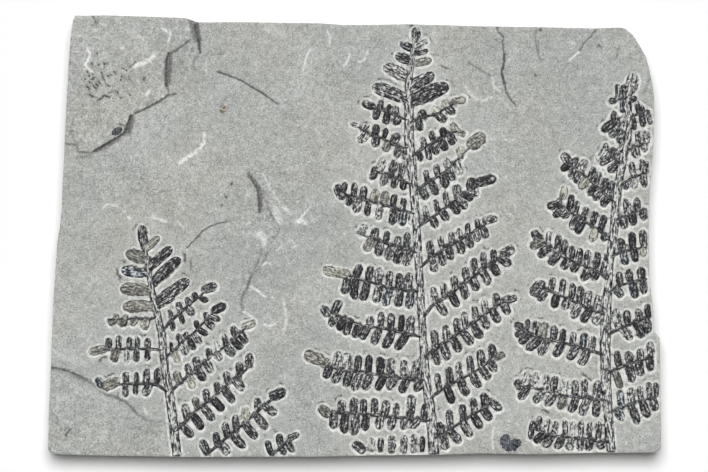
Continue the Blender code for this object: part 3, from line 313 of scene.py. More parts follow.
MIDDLE_LEFT_BRANCHES = [
    ([(408, 120), (400, 117), (390, 113), (376, 108)], [(362, 376, 100, 110)],
     [(378, 385, 100, 110), (387, 392, 104, 112), (393, 400, 106, 116)],
     [(372, 380, 111, 120), (382, 390, 113, 124), (393, 402, 117, 126)]),
    ([(408, 148), (400, 147), (391, 143), (382, 138), (370, 135)], [(351, 360, 122, 128)],
     [(362, 370, 121, 129), (372, 380, 124, 134), (383, 389, 128, 137), (390, 400, 132, 142)],
     [(358, 370, 131, 143), (371, 380, 136, 147), (382, 392, 140, 152), (393, 401, 147, 158),
      (402, 408, 150, 160)]),
    ([(413, 184), (408, 183), (395, 178), (375, 170)], [(369, 379, 166, 180)],
     [(378, 387, 158, 168), (390, 398, 160, 173), (399, 406, 163, 177)],
     [(379, 387, 176, 186), (390, 398, 178, 188), (399, 407, 181, 190)]),
    ([(416, 214), (400, 210), (385, 205), (370, 201), (355, 198), (344, 194)], [(334, 346, 184, 200)],
     [(342, 348, 182, 193), (351, 358, 183, 198), (360, 368, 186, 199), (370, 380, 189, 201),
      (381, 390, 191, 204), (391, 398, 194, 207), (400, 407, 198, 210)],
     [(345, 352, 198, 206), (352, 361, 201, 213), (364, 371, 204, 216), (375, 382, 206, 220),
      (388, 397, 209, 225), (398, 407, 211, 226), (408, 413, 214, 225)]),
    ([(418, 253), (400, 247), (385, 243), (370, 238), (357, 232)], [],
     [(360, 368, 224, 234), (371, 380, 228, 239), (384, 391, 231, 242), (394, 402, 236, 247),
      (404, 412, 233, 249)],
     [(363, 374, 240, 252), (374, 383, 245, 256), (384, 394, 248, 260), (393, 403, 250, 264),
      (402, 413, 252, 266)]),
    ([(419, 291), (390, 288), (370, 282), (350, 277)], [(323, 350, 266, 278)],
     [(352, 363, 264, 278), (366, 374, 266, 281), (375, 384, 268, 284), (386, 394, 271, 287),
      (395, 403, 273, 288), (403, 413, 273, 290)],
     [(340, 350, 278, 294), (350, 359, 280, 299), (359, 371, 281, 301), (372, 382, 286, 303),
      (382, 393, 290, 306), (394, 404, 291, 307), (405, 415, 292, 309)]),
    ([(422, 337), (410, 334), (395, 331), (381, 328), (362, 326), (341, 317), (331, 311)],
     [(320, 331, 305, 317)],
     [(333, 343, 300, 312), (366, 375, 316, 328), (378, 385, 312, 328), (387, 395, 313, 330),
      (398, 405, 315, 331), (407, 416, 316, 333)],
     [(327, 336, 315, 326), (336, 346, 320, 331), (342, 351, 324, 335), (351, 360, 326, 338),
      (360, 372, 329, 341), (371, 383, 331, 345), (382, 396, 333, 349), (394, 410, 335, 351)]),
    ([(425, 380), (400, 378), (380, 375), (350, 371), (325, 366)],
     [(304, 324, 350, 365), (320, 331, 358, 368)],
     [(332, 342, 352, 368), (343, 352, 353, 369), (354, 362, 355, 371), (365, 373, 355, 373),
      (376, 385, 357, 374), (387, 396, 358, 376), (400, 408, 360, 377), (410, 421, 360, 379)],
     [(323, 333, 368, 379), (332, 345, 369, 384), (343, 354, 372, 387), (351, 364, 374, 391),
      (362, 374, 376, 391), (375, 388, 377, 391), (387, 400, 379, 391), (399, 412, 380, 394),
      (414, 426, 382, 393)]),
    ([(431, 421), (405, 418), (390, 417), (360, 414), (330, 412)], [(318, 331, 405, 418)],
     [(337, 346, 400, 412), (349, 358, 398, 413), (360, 368, 399, 413), (370, 378, 398, 415),
      (380, 390, 400, 416), (393, 400, 403, 416), (406, 416, 395, 418), (420, 430, 403, 421)],
     [(329, 338, 413, 429), (340, 350, 414, 433), (350, 360, 415, 435), (361, 370, 416, 431),
      (375, 384, 417, 429), (387, 397, 418, 430), (400, 408, 419, 430), (410, 422, 421, 431)]),
    ([(432, 452), (400, 451.5), (366, 450)], [(352, 366, 441, 454)],
     [(369, 375, 438, 450), (377, 384, 438, 452), (388, 396, 436, 453), (400, 408, 436, 453),
      (410, 417, 434, 453), (419, 425, 436, 453)],
     []),
]
MIDDLE_RIGHT_BRANCHES = [
    ([(409, 123), (420, 118), (435, 114), (450, 106)], [(450, 466, 96, 106)],
     [(442, 451, 99, 108), (431, 443, 106, 114), (419, 428, 109, 118)],
     [(445, 455, 107, 116), (435, 446, 114, 124), (416, 424, 118, 131)]),
    ([(411, 157), (425, 147), (435, 142), (445, 136), (456, 131)], [(456, 466, 129, 137)],
     [(419, 426, 137, 149), (428, 435, 131, 142), (439, 447, 127, 139), (450, 459, 122, 131)],
     [(417, 424, 151, 161), (426, 433, 147, 160), (432, 440, 144, 155), (440, 449, 140, 151),
      (448, 457, 135, 145)]),
    ([(414, 193), (425, 184), (435, 178), (445, 172), (455, 162), (465, 152)], [(467, 486, 132, 150)],
     [(423, 429, 170, 184), (433, 440, 164, 178), (443, 451, 158, 171), (456, 466, 146, 160)],
     [(420, 430, 187, 200), (430, 440, 182, 195), (440, 450, 174, 188), (449, 457, 168, 181),
      (456, 464, 161, 175)]),
    ([(416, 228), (430, 219), (440, 212), (450, 204), (460, 196), (475, 188)], [(475, 496, 174, 187)],
     [(422, 428, 206, 222), (433, 439, 199, 213), (442, 448, 192, 206), (461, 452, 184, 200),
      (474, 463, 177, 190)],
     [(431, 440, 217, 228), (440, 450, 210, 221), (450, 461, 204, 215), (457, 468, 199, 210),
      (462, 473, 194, 203), (466, 479, 188, 197)]),
    ([(419, 269), (429, 259), (449, 246), (459, 241), (468, 235), (482, 227)], [(482, 497, 215, 225)],
     [(425, 433, 241, 258), (437, 444, 236, 250), (448, 455, 232, 247), (456, 462, 228, 242),
      (465, 471, 223, 237), (474, 480, 219, 231)],
     [(430, 439, 258, 272), (439, 447, 252, 266), (447, 456, 247, 260), (457, 466, 242, 254),
      (467, 475, 236, 248), (474, 482, 231, 242), (482, 490, 227, 238)]),
    ([(421, 320), (432, 306), (450, 294), (467, 281), (482, 269), (500, 258)], [(500, 515, 245, 258)],
     [(430, 437, 287, 305), (440, 447, 283, 299), (450, 458, 276, 292), (461, 469, 267, 283),
      (470, 478, 258, 277), (480, 487, 252, 270), (490, 497, 249, 264)],
     [(437, 448, 304, 316), (450, 461, 293, 307), (461, 470, 284, 299), (471, 481, 277, 291),
      (481, 492, 270, 285), (490, 501, 264, 276), (500, 511, 258, 268)]),
    ([(423, 359), (430, 352), (450, 339), (470, 325), (490, 311), (501, 303)], [(501, 517, 294, 305)],
     [(430, 438, 330, 350), (442, 450, 325, 344), (453, 460, 318, 337), (461, 468, 312, 331),
      (471, 478, 306, 323), (481, 488, 299, 316), (492, 500, 293, 309)],
     [(433, 442, 352, 365), (442, 452, 346, 360), (453, 463, 339, 352), (462, 474, 333, 346),
      (471, 484, 323, 339), (481, 491, 317, 329), (491, 502, 310, 323), (501, 511, 304, 315)]),
    ([(427, 401), (439, 391), (455, 382), (476, 371), (493, 359)], [(493, 505, 351, 361)],
     [(434, 441, 373, 391), (444, 452, 367, 384), (455, 462, 362, 379), (465, 473, 356, 373),
      (476, 485, 350, 369), (487, 496, 344, 361)],
     [(445, 456, 388, 404), (459, 470, 382, 396), (471, 482, 375, 388), (480, 491, 368, 380),
      (488, 498, 361, 372)]),
    ([(432, 440), (440, 436), (449, 431), (458, 424), (469, 417), (479, 411), (493, 401)], [],
     [(435, 444, 422, 437), (445, 453, 410, 430), (458, 466, 404, 423), (469, 477, 398, 416),
      (480, 489, 393, 410)],
     [(441, 450, 436, 450), (450, 462, 431, 444), (461, 473, 422, 437), (471, 483, 415, 429),
      (481, 493, 408, 421), (490, 502, 401, 412)]),
]
RIGHT_STEM = [(631, 88, 4), (628, 98, 6), (627, 107, 8), (629.5, 116, 6), (629, 127, 6), (628, 138, 7),
              (625, 149, 8), (621.7, 167, 8), (618, 185, 8), (616.5, 200, 9), (614, 230, 9), (610, 260, 8),
              (608, 290, 8), (606, 320, 10), (605, 345, 11), (606, 380, 10), (608, 410, 9), (611, 451, 9)]
RIGHT_LOBES = [(630.5, 91, 634.5, 73, 13), (625, 98, 622.3, 85, 5.5), (628, 98, 632, 87.5, 5),
               (628, 102, 637, 97, 6.5)]
RIGHT_LEFT_BRANCHES = [
    ([(628, 98), (618, 99), (611, 101)], [],
     [(614, 620, 84, 97), (621, 626, 85, 95)],
     [(609, 618, 97, 105), (620, 626, 101, 113), (625, 632, 103, 116)]),
    ([(628, 137), (620, 128), (613, 121)], [],
     [(611, 618, 111, 121), (617, 621, 117, 127), (621, 627, 116, 129)],
     [(601, 614, 121, 133), (608, 618, 128, 138), (615, 624, 133, 143)]),
    ([(621, 164), (613, 156), (604, 148)], [],
     [(603, 609, 143, 151), (610, 616, 147, 158), (621, 628, 142, 155)],
     [(595, 601, 153, 161), (600, 609, 151, 160), (600, 611, 160, 167), (607, 620, 161, 173)]),
    ([(616, 203), (604, 193), (592, 182), (580, 172), (569, 163)], [(561, 573, 152, 166)],
     [(573, 580, 157, 165), (580, 589, 160, 171), (590, 597, 167, 178), (596, 603, 172, 184),
      (603, 610, 178, 191), (609, 615, 181, 197)],
     [(561, 570, 165, 173), (567, 575, 168, 179), (573, 582, 174, 184), (578, 589, 179, 190),
      (586, 593, 187, 196), (592, 602, 190, 201), (600, 610, 197, 207)]),
    ([(613, 243), (600, 231), (583, 220), (566, 210), (560, 203)], [(559, 568, 186, 200)],
     [(568, 575, 195, 209), (574, 581, 201, 213), (583, 590, 207, 219), (592, 599, 211, 225),
      (600, 608, 215, 230)],
     [(547, 559, 200, 210), (553, 562, 209, 218), (561, 571, 211, 220), (568, 577, 219, 230),
      (574, 585, 221, 234), (588, 598, 229, 242), (600, 608, 232, 241)]),
    ([(609, 281), (600, 273), (585, 266), (568, 259), (552, 248), (543, 241)], [(531, 543, 230, 242)],
     [(546, 552, 231, 246), (555, 562, 235, 252), (562, 569, 240, 256), (569, 576, 246, 260),
      (577, 584, 248, 263), (585, 592, 250, 267), (594, 601, 252, 270), (605, 612, 253, 270)],
     [(530, 544, 241, 251), (538, 550, 248, 259), (548, 560, 255, 266), (560, 570, 259, 270),
      (570, 581, 262, 273), (580, 591, 268, 281), (590, 600, 270, 281)]),
    ([(607, 316), (592, 309), (570, 300), (550, 291), (540, 288)], [(530, 546, 280, 297)],
     [(549, 556, 278, 292), (560, 567, 279, 295), (569, 576, 283, 300), (577, 585, 286, 303),
      (585, 593, 291, 306), (594, 602, 295, 311)],
     [(537, 549, 290, 302), (550, 559, 295, 308), (561, 571, 298, 310), (570, 582, 304, 319),
      (580, 594, 307, 323), (592, 605, 311, 325)]),
    ([(606, 355), (588, 350), (565, 343), (540, 338), (525, 331)], [(514, 527, 322, 333)],
     [(525, 531, 319, 331), (533, 540, 321, 334), (541, 549, 322, 337), (550, 558, 326, 340),
      (560, 567, 329, 341), (570, 577, 332, 344), (580, 588, 333, 349), (589, 597, 336, 351)],
     [(515, 526, 331, 339), (519, 532, 335, 346), (526, 544, 338, 352), (538, 551, 342, 356),
      (553, 566, 344, 358), (567, 580, 347, 361), (578, 591, 351, 366)]),
    ([(607, 400), (592, 399), (568, 396), (545, 391), (524, 385)], [(514, 525, 379, 391)],
     [(521, 531, 372, 385), (533, 540, 373, 388), (544, 550, 375, 390), (551, 559, 376, 392),
      (561, 569, 379, 394), (571, 579, 380, 396), (581, 588, 379, 397), (592, 602, 381, 399)],
     [(518, 531, 389, 401), (533, 546, 391, 404), (545, 558, 394, 407), (557, 568, 397, 410),
      (568, 580, 398, 413), (579, 592, 400, 416), (592, 601, 400, 417)]),
    ([(611, 443), (585, 439), (556, 436), (545, 433), (533, 428)], [(528, 536, 421, 439)],
     [(536, 543, 416, 430), (545, 551, 419, 432), (552, 559, 421, 435), (562, 568, 420, 436),
      (570, 576, 421, 437), (578, 584, 421, 438), (587, 593, 422, 438), (595, 602, 422, 440),
      (605, 611, 420, 440)],
     [(534, 548, 434, 445), (543, 556, 437, 449), (555, 567, 438, 450), (566, 576, 440, 451),
      (576, 584, 440, 451), (585, 594, 441, 451), (598, 608, 442, 451)]),
]
RIGHT_RIGHT_BRANCHES = [
    ([(629, 118), (640, 113), (648, 110)], [],
     [(634, 640, 101, 113), (639, 646, 106, 118)],
     [(631, 638, 118, 130), (640, 647, 116, 127), (648, 653, 114, 125)]),
    ([(625, 152), (635, 147), (649, 142)], [],
     [(635, 641, 131, 146), (642, 650, 131, 144)],
     [(631, 641, 145, 158), (641, 648, 143, 152)]),
    ([(618, 187), (634, 177), (648, 172)], [],
     [(628, 635, 162, 176), (638, 645, 159, 174), (645, 649, 161, 172)],
     [(622, 629, 178, 190), (630, 638, 177, 189), (640, 648, 173, 187)]),
    ([(615, 221), (628, 215), (637, 211), (647, 209)], [],
     [(622, 630, 199, 216), (633, 641, 198, 212)],
     [(620, 629, 217, 229), (629, 638, 212, 225), (639, 648, 208, 220)]),
    ([(611, 256), (624, 251), (646, 247)], [],
     [(616, 625, 238, 252), (628, 636, 232, 250), (639, 647, 230, 247)],
     [(620, 630, 251, 265), (631, 639, 249, 262), (640, 647, 246, 257)]),
    ([(608, 293), (618, 286), (632, 282), (647, 279)], [],
     [(615, 623, 272, 286), (625, 633, 269, 283), (637, 646, 267, 281)],
     [(613, 624, 286, 298), (629, 639, 283, 298), (640, 648, 280, 294)]),
    ([(607, 335), (620, 328), (640, 320), (651, 317)], [],
     [(611, 620, 309, 327), (623, 631, 310, 326), (634, 642, 309, 321), (644, 651, 304, 318)],
     [(619, 633, 327, 341), (633, 645, 323, 338), (643, 652, 318, 333)]),
    ([(607, 374), (620, 367), (635, 362), (653, 356)], [],
     [(613, 621, 351, 368), (624, 633, 351, 366), (636, 644, 349, 363), (646, 654, 342, 358)],
     [(616, 624, 376, 388), (626, 636, 364, 382), (635, 645, 360, 376), (646, 655, 356, 371)]),
    ([(608, 413), (625, 406), (640, 401), (658, 396)], [],
     [(616, 624, 390, 407), (627, 635, 388, 404), (637, 644, 386, 402), (645, 652, 382, 400),
      (653, 659, 383, 398)],
     [(614, 625, 408, 421), (628, 641, 405, 424), (639, 651, 402, 418), (649, 659, 398, 411)]),
]

# Leaflets whose carbon has worn off, so that they are tan, pale or bluish: the left top of a leaflet's
# box, or a lobe's foot
WORN = {
    "tan": {(147, 259), (150, 291), (153, 306.5), (145.5, 250), (411.5, 64), (304, 350), (320, 358),
            (318, 405), (323, 266), (363, 240), (370, 189), (381, 191), (382, 140), (89, 345), (112, 313),
            (121, 313), (109, 320), (120, 319), (131, 320), (141, 320), (102, 377), (111, 350),
            (172, 371), (189, 377), (174, 352), (191, 397), (241, 407), (442, 99), (431, 106), (450, 96),
            (456, 129), (450, 122), (467, 132), (456, 146), (493, 351), (530, 241), (559, 186),
            (578, 179), (588, 229), (541, 322), (557, 397), (640, 246), (616, 376), (241, 320)},
    "pale": {(413.5, 48.5), (630.5, 91), (378, 158), (375, 206), (443, 158), (351, 122), (362, 121),
             (408, 214), (360, 224), (343, 353), (400, 360), (369, 438), (430, 258), (592, 311),
             (594, 295), (580, 160), (533, 373), (521, 372), (561, 379), (545, 419), (562, 420),
             (570, 421), (630, 177), (595, 153), (600, 151), (611, 309), (124, 350), (213, 341)},
    "blue": {(148, 273), (414, 50), (95, 377), (620, 101), (609, 181), (574, 221), (600, 232), (616, 390),
             (629, 283), (620, 251), (614, 408), (580, 333), (398, 211), (382, 290), (405, 292)},
}


# ---------------------------------------------------------------- geometry on the sheet

FAR_OFF = 1e9
NEARBY = 14.0
TINY = 1e-9


def smooth(values, low, high):
    """A soft step from 0 at low to 1 at high."""
    share = np.clip((np.asarray(values, dtype=float) - low) / (high - low), 0.0, 1.0)
    return share * share * (3.0 - 2.0 * share)


def noise_at(x, y, place):
    return noise.noise(Vector((x, y, place)))


def to_frame(points, heights):
    """Sheet points and heights in metres to the frame's coordinates."""
    points = np.asarray(points, dtype=float)
    return np.column_stack(((points[:, 0] - SHEET_CENTRE[0]) * UNIT, (SHEET_CENTRE[1] - points[:, 1]) * UNIT,
                            np.broadcast_to(heights, len(points))))


def resampled(points, spacing, closed=False):
    """Points at an even spacing along a line of points."""
    points = [Vector(point) for point in points]
    if closed:
        points.append(points[0])
    result, carried = [], 0.0
    for start, end in zip(points, points[1:]):
        length = (end - start).length
        while carried < length:
            result.append(tuple(start.lerp(end, carried / length)))
            carried += spacing
        carried -= length
    if not closed:
        result.append(tuple(points[-1]))
    return result


def beside_line(line, offset, spacing):
    """Points at an even spacing along a line of points, to one side of it."""
    result = []
    samples = resampled(line, spacing)
    for start, end in zip(samples, samples[1:]):
        run = Vector(end) - Vector(start)
        if run.length > TINY:
            side = Vector((run.y, -run.x)).normalized()
            result.append(tuple(Vector(start) + side * offset))
    return result


def bar_distance(points, starts, ends, radii, reach=NEARBY):
    """Least distance from each point to a set of round-ended bars, negative inside them.

    A bar that is farther off than the reach isn't measured.
    """
    best = np.full(len(points), FAR_OFF)
    x, y = points[:, 0], points[:, 1]
    for start, end, radius in zip(starts, ends, radii):
        low = np.minimum(start, end) - radius - reach
        high = np.maximum(start, end) + radius + reach
        near = np.where((x > low[0]) & (x < high[0]) & (y > low[1]) & (y < high[1]))[0]
        run = end - start
        offset = points[near] - start
        share = np.clip(offset @ run / max(run @ run, TINY), 0.0, 1.0)
        away = np.hypot(*(offset - share[:, None] * run).T) - radius
        best[near] = np.minimum(best[near], away)
    return best


def line_distance(points, line, reach=NEARBY):
    line = np.array(line, dtype=float)
    return bar_distance(points, line[:-1], line[1:], [0.0] * (len(line) - 1), reach)


def inside_polygon(points, polygon):
    inside = np.zeros(len(points), dtype=bool)
    polygon = np.array(polygon, dtype=float)
    for start, end in zip(polygon, np.roll(polygon, -1, axis=0)):
        crosses = (start[1] > points[:, 1]) != (end[1] > points[:, 1])
        rise = end[1] - start[1] if end[1] != start[1] else TINY
        at = start[0] + (points[:, 1] - start[1]) * (end[0] - start[0]) / rise
        inside ^= crosses & (points[:, 0] < at)
    return inside


def thinned(points, spacing):
    """Points with close neighbours dropped; the spacing is one number for every point."""
    cell_size = float(spacing.max())
    cells = {}
    kept = []
    for (x, y), near in zip(points, spacing):
        column, row = int(x // cell_size), int(y // cell_size)
        neighbours = [cells.get((column + right, row + down), ())
                      for right in (-1, 0, 1) for down in (-1, 0, 1)]
        if not any((other[0] - x) ** 2 + (other[1] - y) ** 2 < near * near
                   for cell in neighbours for other in cell):
            cells.setdefault((column, row), []).append((x, y))
            kept.append((x, y))
    return np.array(kept)


# ---------------------------------------------------------------- the fern's parts as blades and bars

# A leaflet's width, and its most as a share of its box's width and height; an end lobe's share of its box
LEAFLET_WIDTH = 8.8
LEAFLET_SHARES = (0.96, 0.92)
END_LOBE_SHARE = 0.78

# A spine's width at its foot and its tip; one that runs below this line was broken off with the slab's edge
SPINE_WIDTHS = (3.4, 2.0)
LOST_SPINE = 447.0

# A blade as bars: how far a tip's centre is drawn in, in radii, and a leaflet's foot at most, in sheet
# units; the radii of a lobe's narrow and wide bar, in radii, and where along it the wide one lies
TIP_INSET = 0.9
LEAF_FOOT_INSET = 1.0
LOBE_NARROW, LOBE_WIDE = 0.78, 0.96
LOBE_BELLY = (0.35, 0.85)


class Blade:
    """One leaflet, lobe or stretch of stem, from its foot to its tip."""

    def __init__(self, foot, tip, width, kind, key=None):
        self.foot = Vector(foot)
        self.tip = Vector(tip)
        self.width = width
        self.kind = kind
        self.tones = {tone: float(key in keys) for tone, keys in WORN.items()}

    def bars(self):
        """The blade as round-ended bars: start, end and radius of each."""
        radius = self.width / 2
        if self.kind == "stem":
            return [(self.foot, self.tip, radius)]
        length = (self.tip - self.foot).length
        along = (self.tip - self.foot) / length
        inset = along * min(radius * TIP_INSET, length / 2)
        tip_centre = self.tip - inset
        if self.kind == "oval":
            return [(self.foot + inset, tip_centre, radius)]
        if self.kind == "lobe":
            belly = [self.foot.lerp(tip_centre, share) for share in LOBE_BELLY]
            return [(self.foot, tip_centre, radius * LOBE_NARROW), (*belly, radius * LOBE_WIDE)]
        return [(self.foot + along * min(radius, LEAF_FOOT_INSET), tip_centre, radius)]


def nearest_on_line(point, line):
    best = None
    for start, end in zip(line, line[1:]):
        start, end = Vector(start), Vector(end)
        run = end - start
        share = min(max((point - start).dot(run) / run.dot(run), 0.0), 1.0)
        candidate = start + run * share
        if best is None or (point - candidate).length < (point - best).length:
            best = candidate
    return best


def leaflet(box, spine, leans_right):
    """A leaflet across its box, from the spine out to the far corner."""
    left, right, top, bottom = box
    key = (left, top)
    if left > right:
        left, right = right, left
        leans_right = not leans_right
    width_share, height_share = LEAFLET_SHARES
    half = min(LEAFLET_WIDTH, width_share * (right - left), height_share * (bottom - top)) / 2
    ends = [Vector((right - half, top + half)), Vector((left + half, bottom - half))]
    if not leans_right:
        ends = [Vector((left + half, top + half)), Vector((right - half, bottom - half))]
    near_end, far_end = sorted(ends, key=lambda end: (end - nearest_on_line(end, spine)).length)
    along = (far_end - near_end).normalized()
    return Blade(nearest_on_line(near_end, spine), far_end + along * half, 2 * half, "leaf", key)


def end_lobe(box, spine_end):
    """The lobe at a branch's end, across its box the way that the spine points, and the box's middle."""
    left, right, top, bottom = box
    middle = Vector(((left + right) / 2, (top + bottom) / 2))
    width = END_LOBE_SHARE * min(right - left, bottom - top)
    rises = (middle.x - spine_end[0]) * (middle.y - spine_end[1]) < 0
    lean = Vector((right - left - width, (bottom - top - width) * (-1.0 if rises else 1.0))) / 2
    lean += lean.normalized() * (width / 2)
    ends = sorted((middle - lean, middle + lean), key=lambda end: (end - Vector(spine_end)).length)
    return Blade(*ends, width, "oval", (left, top)), middle


def branch(spine, end_boxes, above, below, leans_right):
    """A branch's blades, and its spine as points with the spine's width."""
    line = list(spine)
    lobes = [end_lobe(box, spine[-1]) for box in end_boxes]
    if lobes:
        line.append(tuple(lobes[-1][1]))
    blades = [blade for blade, _ in lobes] + [leaflet(box, line, leans_right) for box in above + below]
    wide, narrow = SPINE_WIDTHS
    steps = len(line) - 1
    return blades, [(*point, wide + (narrow - wide) * index / steps) for index, point in enumerate(line)]


def frond(stem, lobes, left_branches, right_branches):
    """All parts of a frond: its blades, its stem and spines as ribs, and the ribs as bars for the trench."""
    blades = [Blade(lobe[:2], lobe[2:4], lobe[4], "lobe", lobe[:2]) for lobe in lobes]
    ribs = [(stem, True)] if stem else []
    bars = [Blade(a[:2], b[:2], (a[2] + b[2]) / 2, "stem") for a, b in zip(stem, stem[1:])]
    for branches, leans_right in ((left_branches, True), (right_branches, False)):
        for parts in branches:
            more, spine = branch(*parts, leans_right)
            blades += more
            if min(y for _, y, _ in spine[1:]) < LOST_SPINE:
                ribs.append((spine, False))
                bars += [Blade(a[:2], b[:2], a[2], "stem") for a, b in zip(spine, spine[1:])]
    return blades, ribs, bars


FRONDS = {
    "left_frond": frond(LEFT_STEM, LEFT_LOBES, LEFT_LEFT_BRANCHES, LEFT_RIGHT_BRANCHES),
    "left_frond_low_branch": frond([], [], [], LEFT_LOWER_BRANCHES[:1]),
    "left_frond_lowest_branch": frond([], [], [], LEFT_LOWER_BRANCHES[1:]),
    "middle_frond": frond(MIDDLE_STEM, MIDDLE_LOBES, MIDDLE_LEFT_BRANCHES, MIDDLE_RIGHT_BRANCHES),
    "right_frond": frond(RIGHT_STEM, RIGHT_LOBES, RIGHT_LEFT_BRANCHES, RIGHT_RIGHT_BRANCHES),
}
ALL_BARS = [bar for blades, _, ribs in FRONDS.values() for blade in blades + ribs for bar in blade.bars()]
BAR_STARTS, BAR_ENDS, BAR_RADII = (np.array(part) for part in zip(*ALL_BARS))


def fern_distance(points):
    return bar_distance(points, BAR_STARTS, BAR_ENDS, BAR_RADII)


# ---------------------------------------------------------------- the slab's relief

# The distances across a lip between which a bed rises, outside it being negative
RAISED_STEP = (-2.6, 0.3)
LOWER_STEP = (-0.5, 3.4)

# The lower bed's step fades by a share of its depth between two places along x
LOWER_FADE, LOWER_FADE_SHARE = (110.0, 175.0), 0.75

# How far from their crests the shelf, the ledge, the loop's ledge and the scoop run out; in front of its
# crest the ledge starts lower, and runs out between two distances
SHELF_RUN, LEDGE_RUN, LOOP_RUN, SCOOP_RUN = (0.0, 4.0), (0.0, 26.0), (0.0, 18.0), (0.0, 34.0)
LEDGE_FRONT_RUN, LEDGE_FRONT_SHARE = (0.4, 7.0), 0.55

RIPPLE_HEIGHT = 0.05 * MM
CRACK_DEPTH = 0.35 * MM
SCRATCH_DEPTH = 0.08 * MM

# The bedding's undulation: how tight along x and y, its place in the noise, and its height in mm
WAVES = ((0.011, 0.014, 1.0, 0.30), (0.06, 0.07, 5.0, 0.09), (0.30, 0.32, 8.0, 0.045))


def waves(points):
    """Slow undulation of the bedding and finer unevenness."""
    return MM * np.array([sum(height * noise_at(x * tight_x, y * tight_y, place)
                              for tight_x, tight_y, place, height in WAVES) for x, y in points])


def bed_share(points, lip, bed, step):
    """How far a bed has risen at each point: 0 outside its lip, 1 well inside it."""
    away = line_distance(points, lip, FAR_OFF)
    return smooth(np.where(inside_polygon(points, bed), away, -away), *step)


def crest_share(points, crest, run):
    """1 at a crest, falling to 0 over its run."""
    return 1.0 - smooth(line_distance(points, crest, FAR_OFF), *run)


def relief(points):
    """Height of the rock above its plain upper face, in metres, without the trench round the fern."""
    raised = bed_share(points, RAISED_LIP, RAISED_BED, RAISED_STEP)
    height = RAISED_BED_HEIGHT * raised
    shelf = SHELF_HEIGHT * smooth(line_distance(points, SHELF_EDGE, FAR_OFF), *SHELF_RUN)
    ripples = RIPPLE_HEIGHT * np.sin((points[:, 0] * 0.45 + points[:, 1] * 0.25) * 1.3)
    height += np.where(inside_polygon(points, SHELF), (shelf + ripples) * (1.0 - raised), 0.0)
    fade = 1.0 - smooth(points[:, 0], *LOWER_FADE) * LOWER_FADE_SHARE
    height -= LOWER_BED_DEPTH * bed_share(points, LOWER_LIP, LOWER_BED, LOWER_STEP) * fade
    height += LEDGE_HEIGHT * np.where(inside_polygon(points, LEDGE_CREST + LEDGE_BACK),
                                      crest_share(points, LEDGE_CREST, LEDGE_RUN),
                                      LEDGE_FRONT_SHARE * crest_share(points, LEDGE_CREST, LEDGE_FRONT_RUN))
    height += np.where(inside_polygon(points, LOOP_LEDGE + LOOP_BACK),
                       LOOP_HEIGHT * crest_share(points, LOOP_LEDGE, LOOP_RUN), 0.0)
    height -= np.where(inside_polygon(points, SCOOP), SCOOP_DEPTH * crest_share(points, ARCH, SCOOP_RUN), 0.0)
    for depth, strokes in ((CRACK_DEPTH, CRACKS), (SCRATCH_DEPTH, SCRATCHES)):
        for half_width, strength, line in strokes:
            height -= depth * strength * (1.0 - smooth(line_distance(points, line), 0.0, half_width))
    return height + waves(points)


# ---------------------------------------------------------------- meshes of the films

def mesh_object(name, vertices, faces, attributes, material, smooth_faces=True):
    """A mesh with one number of each attribute at every vertex."""
    mesh = bpy.data.meshes.new(name)
    mesh.from_pydata([tuple(vertex) for vertex in vertices], [], faces)
    for key, values in attributes.items():
        layer = mesh.attributes.new(key, "FLOAT", "POINT")
        layer.data.foreach_set("value", np.asarray(values, dtype=np.float32))
    mesh.polygons.foreach_set("use_smooth", np.full(len(faces), smooth_faces))
    mesh.materials.append(material)
    mesh.update()
    piece = bpy.data.objects.new(name, mesh)
    bpy.context.scene.collection.objects.link(piece)
    return piece


class Parts:
    """Collects vertices, faces and attributes of many small parts for one film."""

    def __init__(self):
        self.points, self.heights, self.faces = [], [], []
        self.values = {key: [] for key in ("across", "streak_across", "streak_along", "shade", "tan", "pale",
                                           "blue", "stemmy", "calm")}

    def add_grid(self, rows, columns, points, heights, values):
        """A grid of points; a value is a number for all of them, or a list with one for each."""
        first = len(self.points)
        self.points += points
        self.heights += heights
        for key in self.values:
            given = values.get(key, 0.0)
            self.values[key] += given if isinstance(given, list) else [given] * len(points)
        for row in range(rows - 1):
            for column in range(columns - 1):
                corner = first + row * columns + column
                self.faces.append((corner, corner + columns, corner + columns + 1, corner + 1))

    def add_film(self, node, material):
        """The parts as one film on the rock, in place of a node of the solids."""
        heights = TOP + relief(np.array(self.points)) + np.array(self.heights)
        piece = mesh_object(node + "_film", to_frame(self.points, heights), self.faces, self.values, material)
        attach(piece, "root")
        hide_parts(node)


# Shares of a blade's length, and of its half width
STATIONS = (0.0, 0.1, 0.22, 0.36, 0.5, 0.62, 0.73, 0.82, 0.9, 0.96, 1.0)
ACROSS = (-1.0, -0.86, -0.55, -0.2, 0.0, 0.2, 0.55, 0.86, 1.0)

# A blade's foot as a share of its width, and where along it the full width is reached
FOOT_SHARE, FULL_WIDTH_AT = 0.72, 0.35

# A blade's bend and its wavy edge as shares, and the length of its round tip in widths, by kind
BEND, EDGE_WAVE = 0.05, 0.16
CAP_WIDTHS = {"lobe": 0.8, "leaf": 0.66, "oval": 0.66}
LONGEST_CAP = 0.6
BLUNT_TIP, BLUNT_OVAL_FOOT = 0.16, 0.3

# The furrow down a blade's middle, its share of the half width, and the small bumps on it
FURROW_DEPTH, FURROW_SHARE = 0.05 * MM, 0.16
BUMP_HEIGHT, BUMP_TIGHTNESS = 0.05 * MM, 0.45


